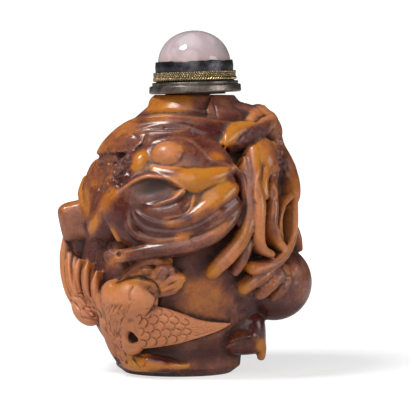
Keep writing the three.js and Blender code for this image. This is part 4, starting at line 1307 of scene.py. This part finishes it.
def feed(tree, socket, value):
    if isinstance(value, tuple):
        socket.default_value = (*value, 1)
    elif isinstance(value, (int, float)):
        socket.default_value = value
    else:
        tree.links.new(value, socket)


def calc(tree, operation, a, b, clamp=False):
    node = addNode(tree, "ShaderNodeMath", operation=operation, use_clamp=clamp)
    feed(tree, node.inputs[0], a)
    feed(tree, node.inputs[1], b)
    return node.outputs[0]


def blend(tree, factor, a, b):
    node = addNode(tree, "ShaderNodeMix", data_type="RGBA")
    for socket, value in ((node.inputs[0], factor), (node.inputs[6], a), (node.inputs[7], b)):
        feed(tree, socket, value)
    return node.outputs[2]


def noiseAt(tree, coords, size, detail=4, roughness=0.6, distortion=0.0):
    # size is the width of one cloud in mm
    node = addNode(tree, "ShaderNodeTexNoise")
    tree.links.new(coords, node.inputs["Vector"])
    for name, value in (("Scale", 1 / (size * mm)), ("Detail", detail), ("Roughness", roughness),
                        ("Distortion", distortion)):
        node.inputs[name].default_value = value
    return node.outputs["Fac"]


def ramp(tree, value, stops):
    node = addNode(tree, "ShaderNodeValToRGB")
    tree.links.new(value, node.inputs["Fac"])
    elements = node.color_ramp.elements
    elements[0].position, elements[1].position = stops[0][0], stops[-1][0]
    for place, _ in stops[1:-1]:
        elements.new(place)
    for element, (_, colour) in zip(elements, stops):
        element.color = (*colour, 1)
    return node.outputs["Color"]


def attribute(tree, name):
    return addNode(tree, "ShaderNodeAttribute", attribute_name=name).outputs["Fac"]


def objectCoords(tree):
    return addNode(tree, "ShaderNodeTexCoord").outputs["Object"]


def bumpFrom(tree, shader, height, strength, distance):
    bump = addNode(tree, "ShaderNodeBump")
    bump.inputs["Strength"].default_value = strength
    bump.inputs["Distance"].default_value = distance * mm
    tree.links.new(height, bump.inputs["Height"])
    tree.links.new(bump.outputs["Normal"], shader.inputs["Normal"])


def lightWithin(shader, weight, radius, depth):
    # how much light travels inside a stone, in which colours and how many mm
    shader.inputs["Subsurface Weight"].default_value = weight
    shader.inputs["Subsurface Radius"].default_value = radius
    shader.inputs["Subsurface Scale"].default_value = depth * mm


# dirt that has settled and fine pits, shared by the amber, the metal and the cork;
# fed the amber's hollows, the darkening is also painted shade in its deep valleys
def dirtShadeAndPitsGroup():
    group = bpy.data.node_groups.new("dirtShadeAndPitsSurface", "ShaderNodeTree")
    for name in ("Hollow", "Amount", "Size"):
        group.interface.new_socket(name, in_out="INPUT", socket_type="NodeSocketFloat")
    for name in ("DirtAndShade", "Pits"):
        group.interface.new_socket(name, in_out="OUTPUT", socket_type="NodeSocketFloat")
    inside, outside = addNode(group, "NodeGroupInput"), addNode(group, "NodeGroupOutput")
    scaled = addNode(group, "ShaderNodeVectorMath", operation="SCALE")
    group.links.new(objectCoords(group), scaled.inputs[0])
    group.links.new(inside.outputs["Size"], scaled.inputs["Scale"])
    coarse = noiseAt(group, scaled.outputs[0], 1.1, detail=5)
    fine = noiseAt(group, scaled.outputs[0], 0.32, detail=5, roughness=0.7)
    patchy = calc(group, "ADD", calc(group, "MULTIPLY", coarse, 0.9), 0.25)
    dirtAndShade = calc(group, "MULTIPLY", calc(group, "MULTIPLY", inside.outputs["Hollow"], patchy),
                inside.outputs["Amount"], clamp=True)
    group.links.new(dirtAndShade, outside.inputs["DirtAndShade"])
    group.links.new(fine, outside.inputs["Pits"])
    return group


def addDirtShadeAndPits(tree, group, hollow, amount, size):
    node = addNode(tree, "ShaderNodeGroup", node_tree=group)
    feed(tree, node.inputs["Hollow"], hollow)
    node.inputs["Amount"].default_value = amount
    node.inputs["Size"].default_value = size
    return node.outputs["DirtAndShade"], node.outputs["Pits"]


amber = {
    "bloomSize": 13.0, "bloomAmount": 0.9, "cloudSize": 5.0, "cloudAmount": 0.9,
    "streakSize": 1.7, "streakAmount": 0.5, "fleckSize": 0.6, "fleckAmount": 0.3,
    "tones": [
        (0.0, (0.060, 0.012, 0.010)), (0.18, (0.090, 0.020, 0.014)), (0.36, (0.155, 0.048, 0.026)),
        (0.55, (0.260, 0.075, 0.022)), (0.75, (0.40, 0.122, 0.017)), (1.0, (0.52, 0.170, 0.015)),
    ],
    "oliveSize": 6.0, "olive": (0.40, 0.185, 0.028),
    # the grime colour also paints shade into the deep valleys
    "bloomAndSheen": (0.60, 0.225, 0.105), "mauve": (0.20, 0.082, 0.066), "grimeAndShade": (0.040, 0.016, 0.009),
    "polish": 0.12, "unpolished": 0.42, "grimeRough": 0.4, "fleckRough": 0.1,
    "ior": 1.54, "specular": 0.38, "lit": 0.2, "litRadius": (1.0, 0.35, 0.12), "litDepth": 1.2,
}


def amberMaterial(group):
    material, tree, shader = newMaterial("mottledAmber")
    coords = objectCoords(tree)
    tone, chalkAndSheen, matte = attribute(tree, "tone"), attribute(tree, "chalkAndSheen"), attribute(tree, "matte")
    blooms = noiseAt(tree, coords, amber["bloomSize"], detail=3, distortion=0.6)
    clouded = noiseAt(tree, coords, amber["cloudSize"], detail=5, roughness=0.62, distortion=0.8)
    streaks = noiseAt(tree, coords, amber["streakSize"], detail=4, distortion=1.6)
    flecks = noiseAt(tree, coords, amber["fleckSize"], detail=4)
    mottled = tone
    for pattern, amount in ((blooms, "bloomAmount"), (clouded, "cloudAmount"), (streaks, "streakAmount"),
                            (flecks, "fleckAmount")):
        shift = calc(tree, "MULTIPLY", calc(tree, "SUBTRACT", pattern, 0.5), amber[amount])
        mottled = calc(tree, "ADD", mottled, shift, clamp=True)
    clear = ramp(tree, mottled, amber["tones"])
    drift = noiseAt(tree, coords, amber["oliveSize"], detail=2, distortion=0.4)
    greenish = ramp(tree, calc(tree, "MULTIPLY", drift, mottled), [(0.3, (0, 0, 0)), (0.55,
                                                                                      (0.4, 0.4, 0.4))])
    clear = blend(tree, greenish, clear, amber["olive"])
    # the bloom colour also paints the highlights on thin edges and the sheen on some right-facing surfaces
    # of the front
    pale = blend(tree, mottled, amber["mauve"], amber["bloomAndSheen"])
    powderAndSheen = calc(tree, "MULTIPLY", chalkAndSheen, calc(tree, "ADD", streaks, 0.5), clamp=True)
    colour = blend(tree, powderAndSheen, clear, pale)
    # darkened by how hollow it is: grime in the crevices, painted shade in the deep valleys
    dirtAndShade, pits = addDirtShadeAndPits(tree, group, attribute(tree, "groove"), 1.5, 1.0)
    tree.links.new(blend(tree, dirtAndShade, colour, amber["grimeAndShade"]), shader.inputs["Base Color"])
    gloss = calc(tree, "ADD", calc(tree, "MULTIPLY", matte, amber["unpolished"]), amber["polish"])
    flecked = calc(tree, "ADD", gloss, calc(tree, "MULTIPLY", flecks, amber["fleckRough"]))
    rough = calc(tree, "ADD", flecked, calc(tree, "MULTIPLY", dirtAndShade, amber["grimeRough"]), clamp=True)
    tree.links.new(rough, shader.inputs["Roughness"])
    shader.inputs["IOR"].default_value = amber["ior"]
    shader.inputs["Specular IOR Level"].default_value = amber["specular"]
    lightWithin(shader, amber["lit"], amber["litRadius"], amber["litDepth"])
    worn = calc(tree, "ADD", calc(tree, "MULTIPLY", matte, 0.9), 0.12)
    bumpFrom(tree, shader, calc(tree, "MULTIPLY", pits, worn), 0.5, 0.12)
    return material


silver = {
    "tarnishSize": 2.6,
    "bezel": [(0.3, (0.022, 0.021, 0.027)), (0.5, (0.048, 0.046, 0.055)), (0.68, (0.12, 0.108, 0.108))],
    # the flange's ramp is warmer and lighter than the bezel's: its tarnished silver with a painted
    # reflection of the amber
    "flange": [(0.3, (0.09, 0.075, 0.065)), (0.5, (0.17, 0.14, 0.12)), (0.68, (0.30, 0.25, 0.22))],
    "metallic": 0.85, "polish": 0.16, "tarnishRough": 0.3,
}


def silverMaterial(group):
    material, tree, shader = newMaterial("oldSilver")
    coords = objectCoords(tree)
    tarnish = noiseAt(tree, coords, silver["tarnishSize"], detail=5, roughness=0.65, distortion=0.5)
    _, pits = addDirtShadeAndPits(tree, group, 0.5, 1.0, 1.4)
    bezel = ramp(tree, tarnish, silver["bezel"])
    # the flange below the step takes the warmer ramp, a painted reflection of the amber
    flange = ramp(tree, tarnish, silver["flange"])
    colour = blend(tree, attribute(tree, "above"), flange, bezel)
    tree.links.new(colour, shader.inputs["Base Color"])
    shader.inputs["Metallic"].default_value = silver["metallic"]
    rough = calc(tree, "ADD", calc(tree, "MULTIPLY", tarnish, silver["tarnishRough"]), silver["polish"])
    tree.links.new(rough, shader.inputs["Roughness"])
    bumpFrom(tree, shader, pits, 0.35, 0.1)
    return material


gilding = {
    "wearSize": 3.0, "rubbed": (0.30, 0.20, 0.09), "bright": (0.78, 0.62, 0.34),
    "grimeAndShade": (0.035, 0.026, 0.02), "polish": 0.26, "grimeRough": 0.4, "grimeDulling": 0.6,
}


def giltMaterial(group):
    material, tree, shader = newMaterial("wornGilt")
    proud = attribute(tree, "proud")
    hollow = calc(tree, "SUBTRACT", 1.0, proud)
    dirtAndShade, pits = addDirtShadeAndPits(tree, group, hollow, 1.5, 1.5)
    worn = noiseAt(tree, objectCoords(tree), gilding["wearSize"], detail=3)
    shine = calc(tree, "MULTIPLY", worn, proud, clamp=True)
    metal = blend(tree, shine, gilding["rubbed"], gilding["bright"])
    tree.links.new(blend(tree, dirtAndShade, metal, gilding["grimeAndShade"]), shader.inputs["Base Color"])
    dulled = calc(tree, "MULTIPLY", dirtAndShade, gilding["grimeDulling"])
    tree.links.new(calc(tree, "SUBTRACT", 1.0, dulled), shader.inputs["Metallic"])
    rough = calc(tree, "ADD", calc(tree, "MULTIPLY", dirtAndShade, gilding["grimeRough"]), gilding["polish"])
    tree.links.new(rough, shader.inputs["Roughness"])
    bumpFrom(tree, shader, pits, 0.2, 0.05)
    return material


quartz = {
    "veilSize": 6.0,
    "veils": [(0.32, (0.42, 0.335, 0.36)), (0.5, (0.49, 0.40, 0.42)), (0.68, (0.57, 0.50, 0.52))],
    "lowWarmth": (0.60, 0.40, 0.30), "coolShare": 0.6, "roughness": 0.07, "ior": 1.54,
    "lit": 0.5, "litRadius": (1.0, 0.7, 0.65), "litDepth": 3,
}


def quartzMaterial():
    material, tree, shader = newMaterial("roseQuartz")
    coords = objectCoords(tree)
    veils = noiseAt(tree, coords, quartz["veilSize"], detail=4, roughness=0.55, distortion=1.2)
    base = ramp(tree, veils, quartz["veils"])
    above = attribute(tree, "above")
    warm = blend(tree, above, quartz["lowWarmth"], base)
    tree.links.new(blend(tree, quartz["coolShare"], warm, base), shader.inputs["Base Color"])
    shader.inputs["Roughness"].default_value = quartz["roughness"]
    shader.inputs["IOR"].default_value = quartz["ior"]
    lightWithin(shader, quartz["lit"], quartz["litRadius"], quartz["litDepth"])
    return material


def corkMaterial(group):
    material, tree, shader = newMaterial("darkCork")
    dirtAndShade, pits = addDirtShadeAndPits(tree, group, 0.8, 1.2, 1.0)
    tree.links.new(blend(tree, dirtAndShade, (0.16, 0.09, 0.045), (0.03, 0.02, 0.014)), shader.inputs["Base Color"])
    shader.inputs["Roughness"].default_value = 0.85
    bumpFrom(tree, shader, pits, 0.8, 0.3)
    return material


def finishPiece(piece, material, node):
    piece.data.materials.clear()
    piece.data.materials.append(material)
    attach(piece, "root")
    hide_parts(node)


surface = dirtShadeAndPitsGroup()
finishPiece(carveBottle(), amberMaterial(surface), "bottle")
print("amber carved")
finishPiece(addMount(), silverMaterial(surface), "stopper_mount")
finishPiece(addBraid(), giltMaterial(surface), "stopper_braid")
finishPiece(addStone(), quartzMaterial(), "stopper_stone")
finishPiece(addCork(), corkMaterial(surface), "stopper_cork")
print("stopper set")

# white paper, a soft light from the upper left and the camera
studio = {
    "key": {"toward": (-0.46, -0.30, 0.84), "distance": 700, "size": 230, "power": 4.2},
    "front": {"toward": (-0.22, -0.86, 0.46), "distance": 900, "size": 820, "power": 3.2},
    "right": {"toward": (0.90, -0.44, 0.16), "distance": 800, "size": 460, "power": 2.3},
    "lightsAim": (3, 0, 28), "surround": 0.08, "surroundSeen": 1.05,
    "paper": 0.5, "paperSize": 8000, "paperReflected": 0.25,
    # the paper's own light near and far from the foot, and where these are
    "paperGlow": (0.66, 1.05), "glowFrom": (110, 330),
}


def addLight(name, toward, distance, size, power):
    at = Vector(toward).normalized() * distance + Vector(studio["lightsAim"])
    bpy.ops.object.select_all(action="DESELECT")
    bpy.ops.object.light_add(type="AREA", location=at * mm)
    light = bpy.context.object
    light.name = name
    light.data.shape = "DISK"
    light.data.size = size * mm
    light.data.energy = power
    light.rotation_euler = (-Vector(toward)).to_track_quat("-Z", "Y").to_euler()


def addSurround():
    world = bpy.context.scene.world or bpy.data.worlds.new("surround")
    bpy.context.scene.world = world
    world.use_nodes = True
    tree = world.node_tree
    background = tree.nodes["Background"]
    background.inputs["Color"].default_value = (1, 1, 1, 1)
    seen = addNode(tree, "ShaderNodeLightPath").outputs["Is Camera Ray"]
    extra = calc(tree, "MULTIPLY", seen, studio["surroundSeen"] - studio["surround"])
    tree.links.new(calc(tree, "ADD", extra, studio["surround"]), background.inputs["Strength"])


def addPaper():
    bpy.ops.object.select_all(action="DESELECT")
    bpy.ops.mesh.primitive_plane_add(size=studio["paperSize"] * mm)
    paper = bpy.context.object
    paper.name = "studio_floor"
    material, tree, shader = newMaterial("whitePaper")
    shader.inputs["Base Color"].default_value = (studio["paper"],) * 3 + (1,)
    shader.inputs["Roughness"].default_value = 0.95
    shader.inputs["Specular IOR Level"].default_value = 0.1
    shader.inputs["Emission Color"].default_value = (1, 1, 1, 1)
    away = addNode(tree, "ShaderNodeVectorMath", operation="LENGTH")
    tree.links.new(objectCoords(tree), away.inputs[0])
    glow = addNode(tree, "ShaderNodeMapRange")
    tree.links.new(away.outputs["Value"], glow.inputs["Value"])
    near, far = studio["glowFrom"]
    nearGlow, farGlow = studio["paperGlow"]
    for name, value in (("From Min", near * mm), ("From Max", far * mm), ("To Min", nearGlow),
                        ("To Max", farGlow)):
        glow.inputs[name].default_value = value
    seen = addNode(tree, "ShaderNodeLightPath").outputs["Is Camera Ray"]
    lower = calc(tree, "MAXIMUM", seen, studio["paperReflected"])
    tree.links.new(calc(tree,
                        "MULTIPLY", glow.outputs["Result"], lower), shader.inputs["Emission Strength"])
    paper.data.materials.append(material)


def addCamera():
    bpy.ops.object.select_all(action="DESELECT")
    bpy.ops.object.camera_add(location=Vector(camera["eye"]) * mm)
    view = bpy.context.object
    view.name = "camera"
    sight = Vector(camera["aim"]) - Vector(camera["eye"])
    view.rotation_euler = sight.to_track_quat("-Z", "Y").to_euler()
    view.data.angle = 2 * math.atan(camera["seen"] / 2 / sight.length)
    view.data.clip_start = 0.01
    bpy.context.scene.camera = view


for name in ("key", "front", "right"):
    addLight(name + "Light", **studio[name])
addSurround()
addPaper()
addCamera()
print("studio lit")
